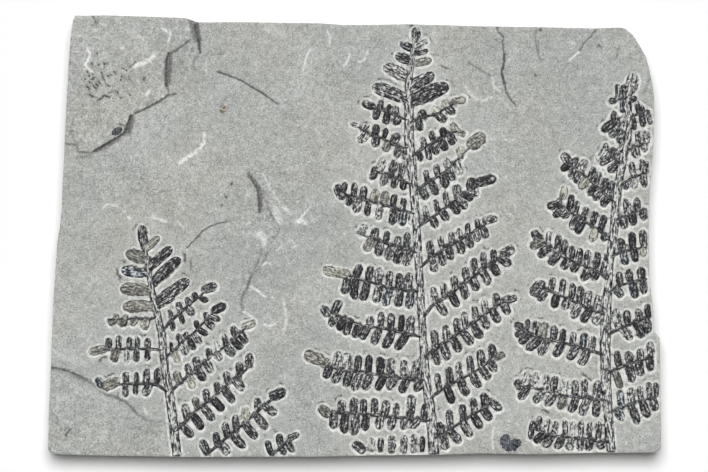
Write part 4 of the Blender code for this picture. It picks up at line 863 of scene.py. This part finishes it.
def add_blade(parts, blade, rng):
    """A slightly bent leaflet: blunt round tip, crowned across, with a faint furrow down its middle."""
    run = blade.tip - blade.foot
    length = run.length
    along = run / length
    side = Vector((along.y, -along.x))
    bend = rng.uniform(-BEND, BEND) * length
    shade = rng.gauss(0.0, 1.0)
    crest = LEAF_CREST * rng.uniform(0.8, 1.2)
    seed = rng.random() * 90.0
    cap = min(blade.width * CAP_WIDTHS[blade.kind] / length, LONGEST_CAP)
    foot_width = blade.width * FOOT_SHARE
    points, heights, streak_across = [], [], []
    for station in STATIONS:
        widening = float(smooth(station, 0.0, FULL_WIDTH_AT))
        half = foot_width / 2 + (blade.width - foot_width) / 2 * widening
        if blade.kind == "oval":
            before = max(cap - station, 0.0) / cap
            half = blade.width / 2 * max(math.sqrt(max(1.0 - before * before, 0.0)), BLUNT_OVAL_FOOT)
        past = max(station - (1.0 - cap), 0.0) / cap
        round_off = math.sqrt(max(1.0 - past * past, 0.0))
        half *= max(round_off, BLUNT_TIP)
        middle = blade.foot + run * station + side * bend * 4.0 * station * (1.0 - station)
        for across in ACROSS:
            reach = half * across * (1.0 + EDGE_WAVE * noise_at(station * 4.0, seed, across))
            point = middle + side * reach
            crown = math.sqrt(max(1.0 - abs(across) ** 2.6, 0.0)) * round_off ** 0.6
            furrow = math.exp(-(across / FURROW_SHARE) ** 2) * FURROW_DEPTH
            bump = noise_at(point.x * BUMP_TIGHTNESS, point.y * BUMP_TIGHTNESS, 3.0) * BUMP_HEIGHT
            heights.append(LEAF_RIM + (crest - LEAF_RIM) * crown - furrow * crown + bump * crown)
            points.append((point.x, point.y))
            streak_across.append(reach + seed)
    values = {"across": list(ACROSS) * len(STATIONS), "streak_across": streak_across,
              "streak_along": [station * length for station in STATIONS for _ in ACROSS],
              "shade": shade, **blade.tones, "calm": 0.6 * blade.tones["tan"]}
    parts.add_grid(len(STATIONS), len(ACROSS), points, heights, values)


# How far apart a rib's points are, its crest against a leaflet's, and by what share its width wavers
RIB_SPACING = 3.0
RIB_CREST = 1.1 * LEAF_CREST
RIB_WAVE = 0.12

# The ribbing across a stem, and how calm the textures of a stem and a spine are
RIBBING_HEIGHT, RIBBING_TIGHTNESS = 0.05 * MM, 9.0
STEM_CALM, SPINE_CALM = 0.06, 0.3


def add_rib(parts, line, stemmy, rng):
    """A stem or spine: a low rib, and on a stem a furrow along either side."""
    fine = []
    for (*start, start_width), (*end, end_width) in zip(line, line[1:]):
        start, end = Vector(start), Vector(end)
        steps = max(int((end - start).length / RIB_SPACING), 1)
        for step in range(steps):
            share = step / steps
            fine.append((start.lerp(end, share), start_width + (end_width - start_width) * share))
    fine.append((end, end_width))
    points, heights, streak_across = [], [], []
    for index, (middle, width) in enumerate(fine):
        before = fine[max(index - 1, 0)][0]
        after = fine[min(index + 1, len(fine) - 1)][0]
        along = (after - before).normalized()
        side = Vector((along.y, -along.x))
        wobble = 1.0 + RIB_WAVE * noise_at(middle.x * 0.2, middle.y * 0.2, 9.0)
        for across in ACROSS:
            point = middle + side * (width / 2 * across * wobble)
            crown = math.sqrt(max(1.0 - abs(across) ** 3.0, 0.0))
            ribbing = RIBBING_HEIGHT * math.cos(across * RIBBING_TIGHTNESS) if stemmy else 0.0
            heights.append(LEAF_RIM + (RIB_CREST - LEAF_RIM) * crown + ribbing * crown)
            points.append((point.x, point.y))
            streak_across.append(width / 2 * across)
    values = {"across": list(ACROSS) * len(fine), "streak_across": streak_across,
              "streak_along": [index * RIB_SPACING for index in range(len(fine)) for _ in ACROSS],
              "shade": rng.gauss(0.0, 0.3), "stemmy": float(stemmy),
              "calm": STEM_CALM if stemmy else SPINE_CALM}
    parts.add_grid(len(fine), len(ACROSS), points, heights, values)


def add_fronds(material):
    rng = random.Random(11)
    for node, (blades, ribs, _) in FRONDS.items():
        parts = Parts()
        for line, stemmy in ribs:
            add_rib(parts, line, stemmy, rng)
        for blade in blades:
            add_blade(parts, blade, rng)
        parts.add_film(node, material)


# A scrap's rings: share of the rim's distance from the middle, height, and how strongly painted shade darkens
# the rim
SCRAP_RINGS = ((1.0, -0.25 * MM, 1.0), (0.97, 0.06 * MM, 0.9), (0.85, 0.22 * MM, 0.5), (0.6, 0.3 * MM, 0.0),
               (0.3, 0.3 * MM, 0.0), (0.02, 0.3 * MM, 0.0))
SCRAP_SPACING = 1.1
SCRAP_CALM = 0.8

# Each scrap's outline, how pale it is, and how far its rim is torn to and fro
SCRAPS = {"lower_scrap": (LOWER_SCRAP, 0.30, 1.0), "oval_scrap": (OVAL_SCRAP, 0.1, 0.3)}


def add_scraps(material):
    """The two scraps of other plants, each a patch of film with a ragged rim."""
    rng = random.Random(3)
    for node, (outline, pale, torn) in SCRAPS.items():
        rim = [(x + rng.uniform(-torn, torn), y + rng.uniform(-torn, torn))
               for x, y in resampled(outline, SCRAP_SPACING, closed=True)]
        middle = Vector((sum(x for x, _ in rim) / len(rim), sum(y for _, y in rim) / len(rim)))
        rim.append(rim[0])
        points = [tuple(middle.lerp(Vector(point), reach)) for reach, _, _ in SCRAP_RINGS for point in rim]
        values = {"across": [edge for _, _, edge in SCRAP_RINGS for _ in rim],
                  "streak_across": [x for x, _ in points], "streak_along": [y for _, y in points],
                  "blue": 1.0, "pale": pale, "calm": SCRAP_CALM}
        parts = Parts()
        heights = [height for _, height, _ in SCRAP_RINGS for _ in rim]
        parts.add_grid(len(SCRAP_RINGS), len(rim), points, heights, values)
        parts.add_film(node, material)


# ---------------------------------------------------------------- the slab's mesh

# Rings of points round the fern: their distances from it, and how far apart their points are
RING_DISTANCES = (0.1, 0.9, 1.9, 3.2)
RING_SPACING = 1.6
RING_SLACK = 0.35

# Spacings of the slab's other points, and how far the grid's points stray
EDGE_SPACING = 2.4
GRID_SPACING = 2.6
GRID_STRAY = 0.9
GRID_AREA = ((44, 12), (666, 462))
BURIED_SPACING = 5.0
BURIED_AREA = ((70, 25), (660, 455))

# Points closer than this to another are dropped: on the strokes, and elsewhere
STROKE_GAP, OTHER_GAP = 0.62, 1.05

# How near the rim a point may be, and where loose points end and buried ones begin within the fern's edge
RIM_GAP = 1.0
UNDER_FERN, BURIED = -0.9, -1.5

# Lines of points beside the lips in sheet units, and beside the strokes in half widths
LIP_OFFSETS = (-3.6, -2.4, -1.5, -0.7, 0.7, 1.5, 2.4, 3.6)
STROKE_SHARES = (-1.3, -0.6, 0.6, 1.3)
SHADE_SHARES = (-1.0, -0.5, 0.0, 0.5, 1.0)
LIP_SPACING, STROKE_SPACING, SHADE_SPACING = 1.0, 0.8, 1.2
SPECK_RINGS = (0.8, 1.7)

# Heights of the side's rings as a share of the thickness, and how far the rock stands back there; the last
# ring is the edge of the upper face
SIDE_RINGS = ((0.0, 4.6), (0.03, 3.2), (0.12, 2.2), (0.20, 1.6), (0.235, 2.4), (0.34, 1.8), (0.42, 0.9),
              (0.50, 1.5), (0.53, 0.7), (0.62, 0.9), (0.70, 0.5), (0.735, 1.1), (0.82, 0.6), (0.90, 0.25),
              (0.96, 0.1), (0.992, 0.2))

# How far the slab's broken side strays in its layers and its grain, and less so above a share of the height
STRATA_STRAY, GRAIN_STRAY = 0.9, 0.45
FIRM_ABOVE, FIRM_SHARE = 0.93, 0.25

# The trench round the fern is at full depth up to the first distance from it and ends at the second; under
# the films the rock sinks further, from the second distance on and fully at the first
TRENCH_WALL = (1.0, 2.9)
SINK_DEPTH, SINK_WALL = 0.2 * MM, (-2.0, -0.2)

# Where the attribute "away" ends, and how far up and down the sheet "upper" looks for the fern; "upper" keeps
# the painted shadow dashes mostly above the fern
AWAY_LIMIT = 20.0
UPPER_LOOK = (0.0, 1.5)

# How far a stroke's middle sways, and the firm shares of the strokes
SWAY, SWAY_TIGHTNESS = 1.1, 0.4
FIRM_STROKES = {"scratch": (SCRATCHES, 0.35), "crack": (CRACKS, 0.3), "shade": (SHADES, 0.25)}
SPECK_HALF_WIDTH, SPECK_STRENGTH, SPECK_FIRM, SPECK_REACH = 1.25, 0.95, 0.2, 0.8


def ring_points(rng):
    """Points along rings at several distances round every part of the fern."""
    rings = []
    for start, end, radius in ALL_BARS:
        run = end - start
        length = run.length
        along = run / length if length > TINY else Vector((1.0, 0.0))
        side = Vector((along.y, -along.x))
        for away in RING_DISTANCES:
            reach = radius + away
            straight = max(int(length / RING_SPACING), 1)
            turn = max(int(math.pi * reach / RING_SPACING), 3)
            for step in range(straight):
                foot = start + run * ((step + rng.random() * 0.3) / straight)
                rings.append((*(foot + side * reach), away))
                rings.append((*(foot - side * reach), away))
            for step in range(turn + 1):
                angle = math.pi * step / turn
                swing = side * math.cos(angle) + along * math.sin(angle)
                back = start - along * math.sin(angle) * reach + side * math.cos(angle) * reach
                rings.append((*(end + swing * reach), away))
                rings.append((*back, away))
    rings = np.array(rings)
    distances = fern_distance(rings[:, :2])
    return rings[distances > rings[:, 2] - RING_SLACK][:, :2]


def stroke_points():
    """Points beside the lips, cracks, shades and scratches, and round the specks, so that they are crisp."""
    points = []
    for line in (RAISED_LIP, LOWER_LIP, LEDGE_CREST, LOOP_LEDGE, SHELF_EDGE, ARCH):
        points += resampled(line, LIP_SPACING)
        for offset in LIP_OFFSETS:
            points += beside_line(line, offset, LIP_SPACING)
    for half_width, _, line in CRACKS + SCRATCHES:
        points += resampled(line, STROKE_SPACING)
        for share in STROKE_SHARES:
            points += beside_line(line, half_width * share, STROKE_SPACING)
    for half_width, _, line in SHADES:
        for share in SHADE_SHARES:
            points += beside_line(line, half_width * share, SHADE_SPACING)
    for x, y in SPECKS:
        points.append((x, y))
        for reach in SPECK_RINGS:
            points += [(x + reach * math.cos(turn), y + reach * math.sin(turn)) for turn in range(7)]
    x, y = OCHRE_SPOT
    for reach in range(1, 6):
        points += [(x + reach * math.cos(turn / reach), y + reach * math.sin(turn / reach))
                   for turn in range(int(math.tau * reach))]
    return points


def grid_points(low, high, spacing):
    return [(x, y) for x in np.arange(low[0], high[0], spacing) for y in np.arange(low[1], high[1], spacing)]


def top_points(top_ring, rng):
    """The points within the upper face's rim: free of the fern, and under it."""
    grid = [(x + rng.uniform(-GRID_STRAY, GRID_STRAY), y + rng.uniform(-GRID_STRAY, GRID_STRAY))
            for x, y in grid_points(*GRID_AREA, GRID_SPACING)]
    strokes = stroke_points()
    loose = np.vstack((strokes, ring_points(rng), grid))
    gaps = np.where(np.arange(len(loose)) < len(strokes), STROKE_GAP, OTHER_GAP)
    loose = thinned(loose, gaps)
    loose = loose[fern_distance(loose) > UNDER_FERN]
    to_rim = line_distance(loose, [*top_ring, top_ring[0]], FAR_OFF)
    loose = loose[inside_polygon(loose, top_ring) & (to_rim > RIM_GAP)]
    buried = np.array(grid_points(*BURIED_AREA, BURIED_SPACING))
    buried = buried[(fern_distance(buried) < BURIED) & inside_polygon(buried, top_ring)]
    return np.vstack((top_ring, loose, buried))


def slab_ring(outline, stand_back):
    """The outline pulled in by a distance of its own at every point."""
    outline = np.array(outline)
    tangent = np.roll(outline, -1, axis=0) - np.roll(outline, 1, axis=0)
    tangent /= np.linalg.norm(tangent, axis=1)[:, None]
    inward = np.column_stack((-tangent[:, 1], tangent[:, 0]))
    return outline + inward * np.asarray(stand_back)[:, None]


def nibbled_outline():
    outline = resampled(SLAB_OUTLINE, EDGE_SPACING, closed=True)
    nibbles = [0.12 + 0.22 * noise_at(x * 0.3, y * 0.3, 2.0) + 0.25 * noise_at(x * 0.05, y * 0.05, 4.0)
               for x, y in outline]
    return slab_ring(outline, np.maximum(nibbles, 0.0))


def side_stand_back(outline, share, base):
    """How far the broken side stands back at one height: bedding steps and conchoidal scoops."""
    free = 1.0 if share < FIRM_ABOVE else FIRM_SHARE
    result = []
    for x, y in outline:
        strata = noise_at(x * 0.05, y * 0.05, share * 11.0)
        grain = noise_at(x * 0.35, y * 0.35, share * 30.0)
        result.append(max(base + free * (STRATA_STRAY * strata + GRAIN_STRAY * grain), 0.0))
    return result


def painted(points, strokes, firm):
    """How strongly each point lies under brush strokes that fade out from a firm middle."""
    result = np.zeros(len(points))
    for half_width, strength, line in strokes:
        reach = half_width * 1.1 + 0.2
        fade = smooth(line_distance(points, line), reach * firm, reach)
        result = np.maximum(result, strength * (1.0 - fade))
    return result


def top_attributes(flat, distance, rng):
    """What the shale's material needs to know at each point of the upper face."""
    upper = fern_distance(flat + UPPER_LOOK) - fern_distance(flat - UPPER_LOOK)
    swayed = flat + SWAY * np.array([[noise_at(x * SWAY_TIGHTNESS, y * SWAY_TIGHTNESS, place)
                                      for place in (11.0, 17.0)] for x, y in flat])
    values = {"away": np.minimum(distance, AWAY_LIMIT), "upper": smooth(upper, 2.0, -2.0)}
    for name, (strokes, firm) in FIRM_STROKES.items():
        values[name] = painted(swayed, strokes, firm)
    specks = [(SPECK_HALF_WIDTH, SPECK_STRENGTH, [(x - rng.uniform(0, SPECK_REACH), y - 0.5),
                                                  (x + rng.uniform(0, SPECK_REACH), y + 0.4)])
              for x, y in SPECKS]
    values["crack"] = np.maximum(values["crack"], painted(swayed, specks, SPECK_FIRM))
    to_ochre = np.hypot(flat[:, 0] - OCHRE_SPOT[0], (flat[:, 1] - OCHRE_SPOT[1]) * 0.8)
    values["ochre"] = 1.0 - smooth(to_ochre, 0.35 * OCHRE_RADIUS, OCHRE_RADIUS)
    return values


def side_faces(count):
    """The faces between the side's rings, each of as many points as the count."""
    faces = []
    for lower in range(0, (len(SIDE_RINGS) - 1) * count, count):
        for index in range(count):
            after = (index + 1) % count
            faces.append((lower + index, lower + count + index, lower + count + after, lower + after))
    return faces


def top_faces(flat, triangles, first):
    """The triangles of the upper face, all facing up, with their points counted from the first."""
    corners = flat[np.array(triangles)]
    one, other = corners[:, 1] - corners[:, 0], corners[:, 2] - corners[:, 0]
    turns = one[:, 0] * other[:, 1] - one[:, 1] * other[:, 0]
    return [tuple(first + corner for corner in (triangle if turn < 0 else triangle[::-1]))
            for triangle, turn in zip(triangles, turns)]


def build_slab(material):
    rng = random.Random(5)
    outline = nibbled_outline()
    count = len(outline)
    top_ring = slab_ring(outline, [0.45 + 0.4 * noise_at(x * 0.2, y * 0.2, 7.0) for x, y in outline])
    rim_relief = relief(top_ring)
    vertices = [to_frame(slab_ring(outline, side_stand_back(outline, share, base)),
                         TOP * share + rim_relief * max(share - 0.5, 0.0) * 2.0)
                for share, base in SIDE_RINGS]
    mesh = delaunay_2d_cdt([tuple(point) for point in top_points(top_ring, rng)], [], [list(range(count))],
                           1, 0.001)
    flat, triangles, sources = np.array([tuple(point) for point in mesh[0]]), mesh[2], mesh[3]
    distance = fern_distance(flat)
    trench = TRENCH_DEPTH * (1.0 - smooth(distance, *TRENCH_WALL))
    sink = SINK_DEPTH * (1.0 - smooth(distance, *SINK_WALL))
    vertices.append(to_frame(flat, TOP + relief(flat) - (trench + sink)))
    first_top = len(SIDE_RINGS) * count
    rim = {source[0]: first_top + index for index, source in enumerate(sources)
           if source and source[0] < count}
    faces = side_faces(count)
    last = first_top - count
    for index in range(count):
        after = (index + 1) % count
        faces.append((last + index, rim[index], rim[after], last + after))
    faces += top_faces(flat, triangles, first_top)
    faces.append(tuple(range(count)))
    attributes = {name: np.concatenate((np.full(first_top, AWAY_LIMIT if name == "away" else 0.0), values))
                  for name, values in top_attributes(flat, distance, rng).items()}
    attributes["side"] = np.concatenate((np.ones(first_top - 2 * count), np.zeros(2 * count + len(flat))))
    smooth_faces = np.ones(len(faces), dtype=bool)
    smooth_faces[:len(SIDE_RINGS) * count] = False
    smooth_faces[-1] = False
    return mesh_object("shale_slab", np.vstack(vertices), faces, attributes, material, smooth_faces)


# ---------------------------------------------------------------- materials

SPECULAR = 0.22
ROCK_TINT = (0.985, 1.005, 0.95)


def grey(value, tint=(1.0, 1.0, 1.0)):
    return tuple(value * part for part in tint)


class Nodes:
    """Short ways to build one material's node tree."""

    def __init__(self, name):
        self.material = bpy.data.materials.new(name)
        self.material.use_nodes = True
        self.tree = self.material.node_tree
        self.shader = self.tree.nodes["Principled BSDF"]
        self.place = self.tree.nodes.new("ShaderNodeTexCoord").outputs["Object"]

    def link(self, source, target):
        """A socket is linked to the target; a number or a colour is set on it."""
        if isinstance(source, (int, float)):
            target.default_value = source
        elif isinstance(source, tuple):
            target.default_value = (*source, 1.0)
        else:
            self.tree.links.new(source, target)

    def noise(self, scale, detail, roughness, place=None, stretch=None):
        node = self.tree.nodes.new("ShaderNodeTexNoise")
        for name, value in (("Scale", scale), ("Detail", detail), ("Roughness", roughness)):
            node.inputs[name].default_value = value
        source = place or self.place
        if stretch:
            mapping = self.tree.nodes.new("ShaderNodeMapping")
            mapping.inputs["Scale"].default_value = stretch
            self.tree.links.new(source, mapping.inputs["Vector"])
            source = mapping.outputs["Vector"]
        self.tree.links.new(source, node.inputs["Vector"])
        return node.outputs["Fac"]

    def attribute(self, name):
        node = self.tree.nodes.new("ShaderNodeAttribute")
        node.attribute_name = name
        return node.outputs["Fac"]

    def math(self, operation, first, second=0.0):
        node = self.tree.nodes.new("ShaderNodeMath")
        node.operation = operation
        self.link(first, node.inputs[0])
        self.link(second, node.inputs[1])
        return node.outputs[0]

    def plus(self, first, second):
        return self.math("ADD", first, second)

    def minus(self, first, second):
        return self.math("SUBTRACT", first, second)

    def times(self, first, second):
        return self.math("MULTIPLY", first, second)

    def rescale(self, value, low, high, to_low=0.0, to_high=1.0):
        """The value from low to high spread over another range, and held at its ends."""
        node = self.tree.nodes.new("ShaderNodeMapRange")
        for name, limit in (("From Min", low), ("From Max", high), ("To Min", to_low), ("To Max", to_high)):
            node.inputs[name].default_value = limit
        self.link(value, node.inputs["Value"])
        return node.outputs["Result"]

    def mix(self, share, first, second, blend="MIX"):
        node = self.tree.nodes.new("ShaderNodeMix")
        node.data_type = "RGBA"
        node.blend_type = blend
        node.clamp_factor = True
        self.link(share, node.inputs[0])
        self.link(first, node.inputs[6])
        self.link(second, node.inputs[7])
        return node.outputs[2]

    def tinted(self, colour, tint):
        return self.mix(1.0, colour, tint, "MULTIPLY")

    def painted(self, colour, paint, where, strength):
        """The paint laid over a colour, at the strength where the mask is 1."""
        return self.mix(self.times(where, strength), colour, paint)

    def ramp(self, value, stops):
        node = self.tree.nodes.new("ShaderNodeValToRGB")
        elements = node.color_ramp.elements
        while len(elements) < len(stops):
            elements.new(0.5)
        for element, (position, colour) in zip(elements, stops):
            element.position = position
            element.color = (*colour, 1.0)
        self.link(value, node.inputs["Fac"])
        return node.outputs["Color"]

    def bump(self, height, strength, distance):
        """Makes the shader's normal follow a height; the distance is in metres."""
        node = self.tree.nodes.new("ShaderNodeBump")
        node.inputs["Strength"].default_value = strength
        node.inputs["Distance"].default_value = distance
        self.link(height, node.inputs["Height"])
        self.tree.links.new(node.outputs["Normal"], self.shader.inputs["Normal"])

    def finish(self, colour, roughness):
        self.shader.inputs["Specular IOR Level"].default_value = SPECULAR
        self.link(colour, self.shader.inputs["Base Color"])
        self.link(roughness, self.shader.inputs["Roughness"])
        return self.material


def bare_rock(nodes, grain):
    """Fine-grained grey shale with soft patches of tone and tint."""
    colour = nodes.ramp(grain, [(0.32, grey(0.20, ROCK_TINT)), (0.50, grey(0.42, ROCK_TINT)),
                                (0.68, grey(0.66, ROCK_TINT))])
    patches = nodes.rescale(nodes.noise(70.0, 5.0, 0.6), 0.3, 0.7, 0.90, 1.08)
    broad = nodes.rescale(nodes.noise(14.0, 3.0, 0.5), 0.3, 0.7, 0.95, 1.05)
    colour = nodes.tinted(colour, nodes.times(patches, broad))
    tint = nodes.ramp(nodes.noise(24.0, 2.0, 0.5), [(0.36, (0.99, 1.0, 1.02)), (0.64, (1.01, 1.0, 0.98))])
    return nodes.tinted(colour, tint)


def fern_surround(nodes, colour, away):
    """Paler rock round the fern, its bruised white rim, and dark dashes of painted shadow past the rim,
    mostly above it.
    """
    colour = nodes.mix(nodes.rescale(away, 14.0, 3.0, 0.0, 0.22), colour, grey(0.54, ROCK_TINT))
    halo = nodes.times(nodes.rescale(away, -0.1, 0.6), nodes.rescale(away, 2.9, 1.7))
    halo = nodes.times(halo, nodes.rescale(nodes.noise(330.0, 3.0, 0.6), 0.36, 0.60, 0.15, 1.0))
    colour = nodes.painted(colour, grey(0.84, (0.99, 1.0, 0.95)), halo, 0.85)
    # Painted shadow: dark dashes past the white rim, mostly on the fern's upper side.
    dashes = nodes.times(nodes.rescale(away, 2.4, 3.2), nodes.rescale(away, 5.0, 4.0))
    dashes = nodes.times(dashes, nodes.rescale(nodes.noise(300.0, 3.0, 0.7), 0.56, 0.62))
    dashes = nodes.times(dashes, nodes.rescale(nodes.attribute("upper"), 0.2, 0.9, 0.25, 0.9))
    return nodes.mix(dashes, colour, grey(0.07))


def rock_marks(nodes, colour, grain, away):
    """Chalk, bruises, scratches, flecks, specks, shades, painted shade under the films and at their edges,
    cracks and the ochre spot.
    """
    chalk = nodes.rescale(nodes.noise(240.0, 2.0, 0.5, stretch=(1.0, 0.7, 1.0)), 0.66, 0.72)
    colour = nodes.painted(colour, grey(0.72), chalk, 0.30)
    bruise = nodes.times(nodes.rescale(nodes.noise(38.0, 4.0, 0.6), 0.54, 0.68),
                         nodes.rescale(nodes.noise(450.0, 3.0, 0.7), 0.46, 0.60))
    colour = nodes.painted(colour, grey(0.74), bruise, 0.35)
    ragged = nodes.rescale(nodes.noise(620.0, 3.0, 0.7), 0.40, 0.53, 0.35, 1.0)
    scratch = nodes.times(nodes.attribute("scratch"), ragged)
    colour = nodes.painted(colour, grey(0.88, (1.0, 1.0, 0.98)), scratch, 0.95)
    flecks = nodes.rescale(nodes.noise(560.0, 1.0, 0.5), 0.70, 0.76)
    colour = nodes.painted(colour, grey(0.80), flecks, 0.6)
    specks = nodes.rescale(nodes.noise(620.0, 2.0, 0.5, stretch=(1.0, 1.3, 1.0)), 0.28, 0.21)
    colour = nodes.painted(colour, grey(0.08), specks, 0.8)
    shade = nodes.times(nodes.attribute("shade"), nodes.rescale(grain, 0.40, 0.66, 1.15, 0.8))
    colour = nodes.mix(shade, colour, grey(0.075, (1.0, 1.0, 0.96)))
    # Painted shade: the rock goes dark under the films and just past their edges.
    colour = nodes.painted(colour, grey(0.05), nodes.rescale(away, 0.0, -0.8), 0.9)
    # Cracks, specks and dark strokes; some of the strokes are painted shadow.
    colour = nodes.painted(colour, grey(0.04), nodes.attribute("crack"), 0.95)
    ochre = nodes.times(nodes.attribute("ochre"), nodes.rescale(nodes.noise(700.0, 2.0, 0.6), 0.38, 0.50))
    return nodes.mix(ochre, colour, (0.16, 0.11, 0.04))


def shale_material():
    nodes = Nodes("shale")
    grain = nodes.plus(nodes.times(nodes.noise(1250.0, 2.0, 0.8), 0.72),
                       nodes.times(nodes.noise(420.0, 2.0, 0.6), 0.28))
    wobble = nodes.rescale(nodes.noise(420.0, 2.0, 0.6), 0.3, 0.7, -0.9, 0.9)
    away = nodes.plus(nodes.attribute("away"), wobble)
    colour = fern_surround(nodes, bare_rock(nodes, grain), away)
    colour = rock_marks(nodes, colour, grain, away)
    layers = nodes.noise(1.0, 3.0, 0.6, stretch=(60.0, 60.0, 900.0))
    side = nodes.ramp(layers, [(0.3, grey(0.22, (1.0, 0.97, 0.90))), (0.5, grey(0.37, (1.0, 0.98, 0.92))),
                               (0.7, grey(0.50, (1.0, 0.99, 0.94)))])
    colour = nodes.painted(colour, side, nodes.attribute("side"), 0.8)
    nodes.bump(grain, 0.45, 0.0006)
    return nodes.finish(colour, 0.88)


def carbon_material():
    """Dull black film, streaked along each leaflet, with pale rock showing where it has worn off, and painted
    shade darkening each blade towards its rim.
    """
    nodes = Nodes("carbon_film")
    stemmy = nodes.attribute("stemmy")
    tan = nodes.attribute("tan")
    streak_place = nodes.tree.nodes.new("ShaderNodeCombineXYZ")
    nodes.link(nodes.attribute("streak_across"), streak_place.inputs["X"])
    nodes.link(nodes.attribute("streak_along"), streak_place.inputs["Y"])
    streaks = nodes.noise(1.0, 2.0, 0.6, place=streak_place.outputs["Vector"], stretch=(0.62, 0.13, 1.0))
    film = nodes.noise(760.0, 2.0, 0.75)
    film_share = nodes.rescale(stemmy, 0.0, 1.0, 0.46, 0.30)
    value = nodes.plus(nodes.times(film, film_share), nodes.times(streaks, nodes.minus(1.0, film_share)))
    value = nodes.rescale(value, 0.382, 0.635)
    calm_tone = nodes.rescale(tan, 0.0, 1.0, 0.46, 0.60)
    calm = nodes.times(nodes.attribute("calm"), nodes.minus(calm_tone, value))
    value = nodes.plus(value, nodes.times(calm, 0.8))
    value = nodes.plus(value, nodes.times(nodes.attribute("shade"), 0.085))
    # Painted shade: every blade darker towards its rim, most on stems.
    edge = nodes.math("POWER", nodes.math("ABSOLUTE", nodes.attribute("across")), 5.0)
    value = nodes.minus(value, nodes.times(edge, nodes.rescale(stemmy, 0.0, 1.0, 0.10, 0.55)))
    for worn, paler in ((nodes.attribute("pale"), 0.26), (tan, 0.13), (stemmy, 0.27)):
        value = nodes.plus(value, nodes.times(worn, paler))
    colour = nodes.ramp(value, [(0.12, grey(0.007)), (0.40, grey(0.032, (0.97, 0.98, 1.10))),
                                (0.62, grey(0.15, (0.98, 0.995, 1.03))), (0.96, grey(0.70, ROCK_TINT))])
    colour = nodes.mix(tan, colour, nodes.tinted(colour, (1.0, 0.97, 0.86)))
    colour = nodes.mix(nodes.attribute("blue"), colour, nodes.tinted(colour, (0.88, 0.94, 1.02)))
    nodes.bump(value, 0.35, 0.0004)
    return nodes.finish(colour, nodes.rescale(film, 0.3, 0.7, 0.45, 0.75))


# ---------------------------------------------------------------- camera, light and floor

LENS, SENSOR = 400.0, 36.0
CLIP_END = 20.0
SUN_STRENGTH, SUN_WIDTH = 3.15, math.radians(37.0)
SUN_DIRECTION = (0.015, -0.345, -1.0)

# The sky's strength falls from the first value at the horizon to the second higher up
SKY = (("From Min", 0.10), ("From Max", 0.30), ("To Min", 1.0), ("To Max", 0.045))
FLOOR_GREY, FLOOR_ROUGHNESS, FLOOR_HALF = 0.965, 0.9, 4.0


def add_camera():
    """A camera straight above the sheet's middle, so far off that the sheet fills the picture."""
    camera = bpy.data.cameras.new("camera")
    camera.lens = LENS
    camera.sensor_width = SENSOR
    camera.clip_end = CLIP_END
    holder = bpy.data.objects.new("camera", camera)
    x, y, _ = to_frame([(SHEET_SIZE[0] / 2, SHEET_SIZE[1] / 2)], 0.0)[0]
    holder.location = (x, y, TOP + SHEET_SIZE[0] * UNIT * LENS / SENSOR)
    bpy.context.scene.collection.objects.link(holder)
    bpy.context.scene.camera = holder


def add_light():
    """A large soft lamp high above the plate's upper edge, and a dim sky that is bright at the horizon."""
    world = bpy.data.worlds.new("world")
    world.use_nodes = True
    nodes = world.node_tree.nodes
    place = nodes.new("ShaderNodeTexCoord")
    parts = nodes.new("ShaderNodeSeparateXYZ")
    fall = nodes.new("ShaderNodeMapRange")
    world.node_tree.links.new(place.outputs["Generated"], parts.inputs["Vector"])
    world.node_tree.links.new(parts.outputs["Z"], fall.inputs["Value"])
    for socket, value in SKY:
        fall.inputs[socket].default_value = value
    nodes["Background"].inputs["Color"].default_value = (1.0, 1.0, 1.0, 1.0)
    world.node_tree.links.new(fall.outputs["Result"], nodes["Background"].inputs["Strength"])
    bpy.context.scene.world = world
    sun = bpy.data.lights.new("key", "SUN")
    sun.energy = SUN_STRENGTH
    sun.angle = SUN_WIDTH
    lamp = bpy.data.objects.new("key", sun)
    lamp.rotation_euler = Vector(SUN_DIRECTION).to_track_quat("-Z", "Y").to_euler()
    bpy.context.scene.collection.objects.link(lamp)


def add_floor():
    corners = [(x * FLOOR_HALF, y * FLOOR_HALF, 0.0) for x, y in ((-1, -1), (1, -1), (1, 1), (-1, 1))]
    material = Nodes("floor").finish(grey(FLOOR_GREY), FLOOR_ROUGHNESS)
    floor = mesh_object("floor", corners, [(0, 1, 2, 3)], {}, material, False)


bpy.context.scene.view_settings.view_transform = "Standard"
add_camera()
add_light()
add_floor()
slab = build_slab(shale_material())
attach(slab, "root")
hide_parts("stone_slab")
carbon = carbon_material()
add_fronds(carbon)
add_scraps(carbon)
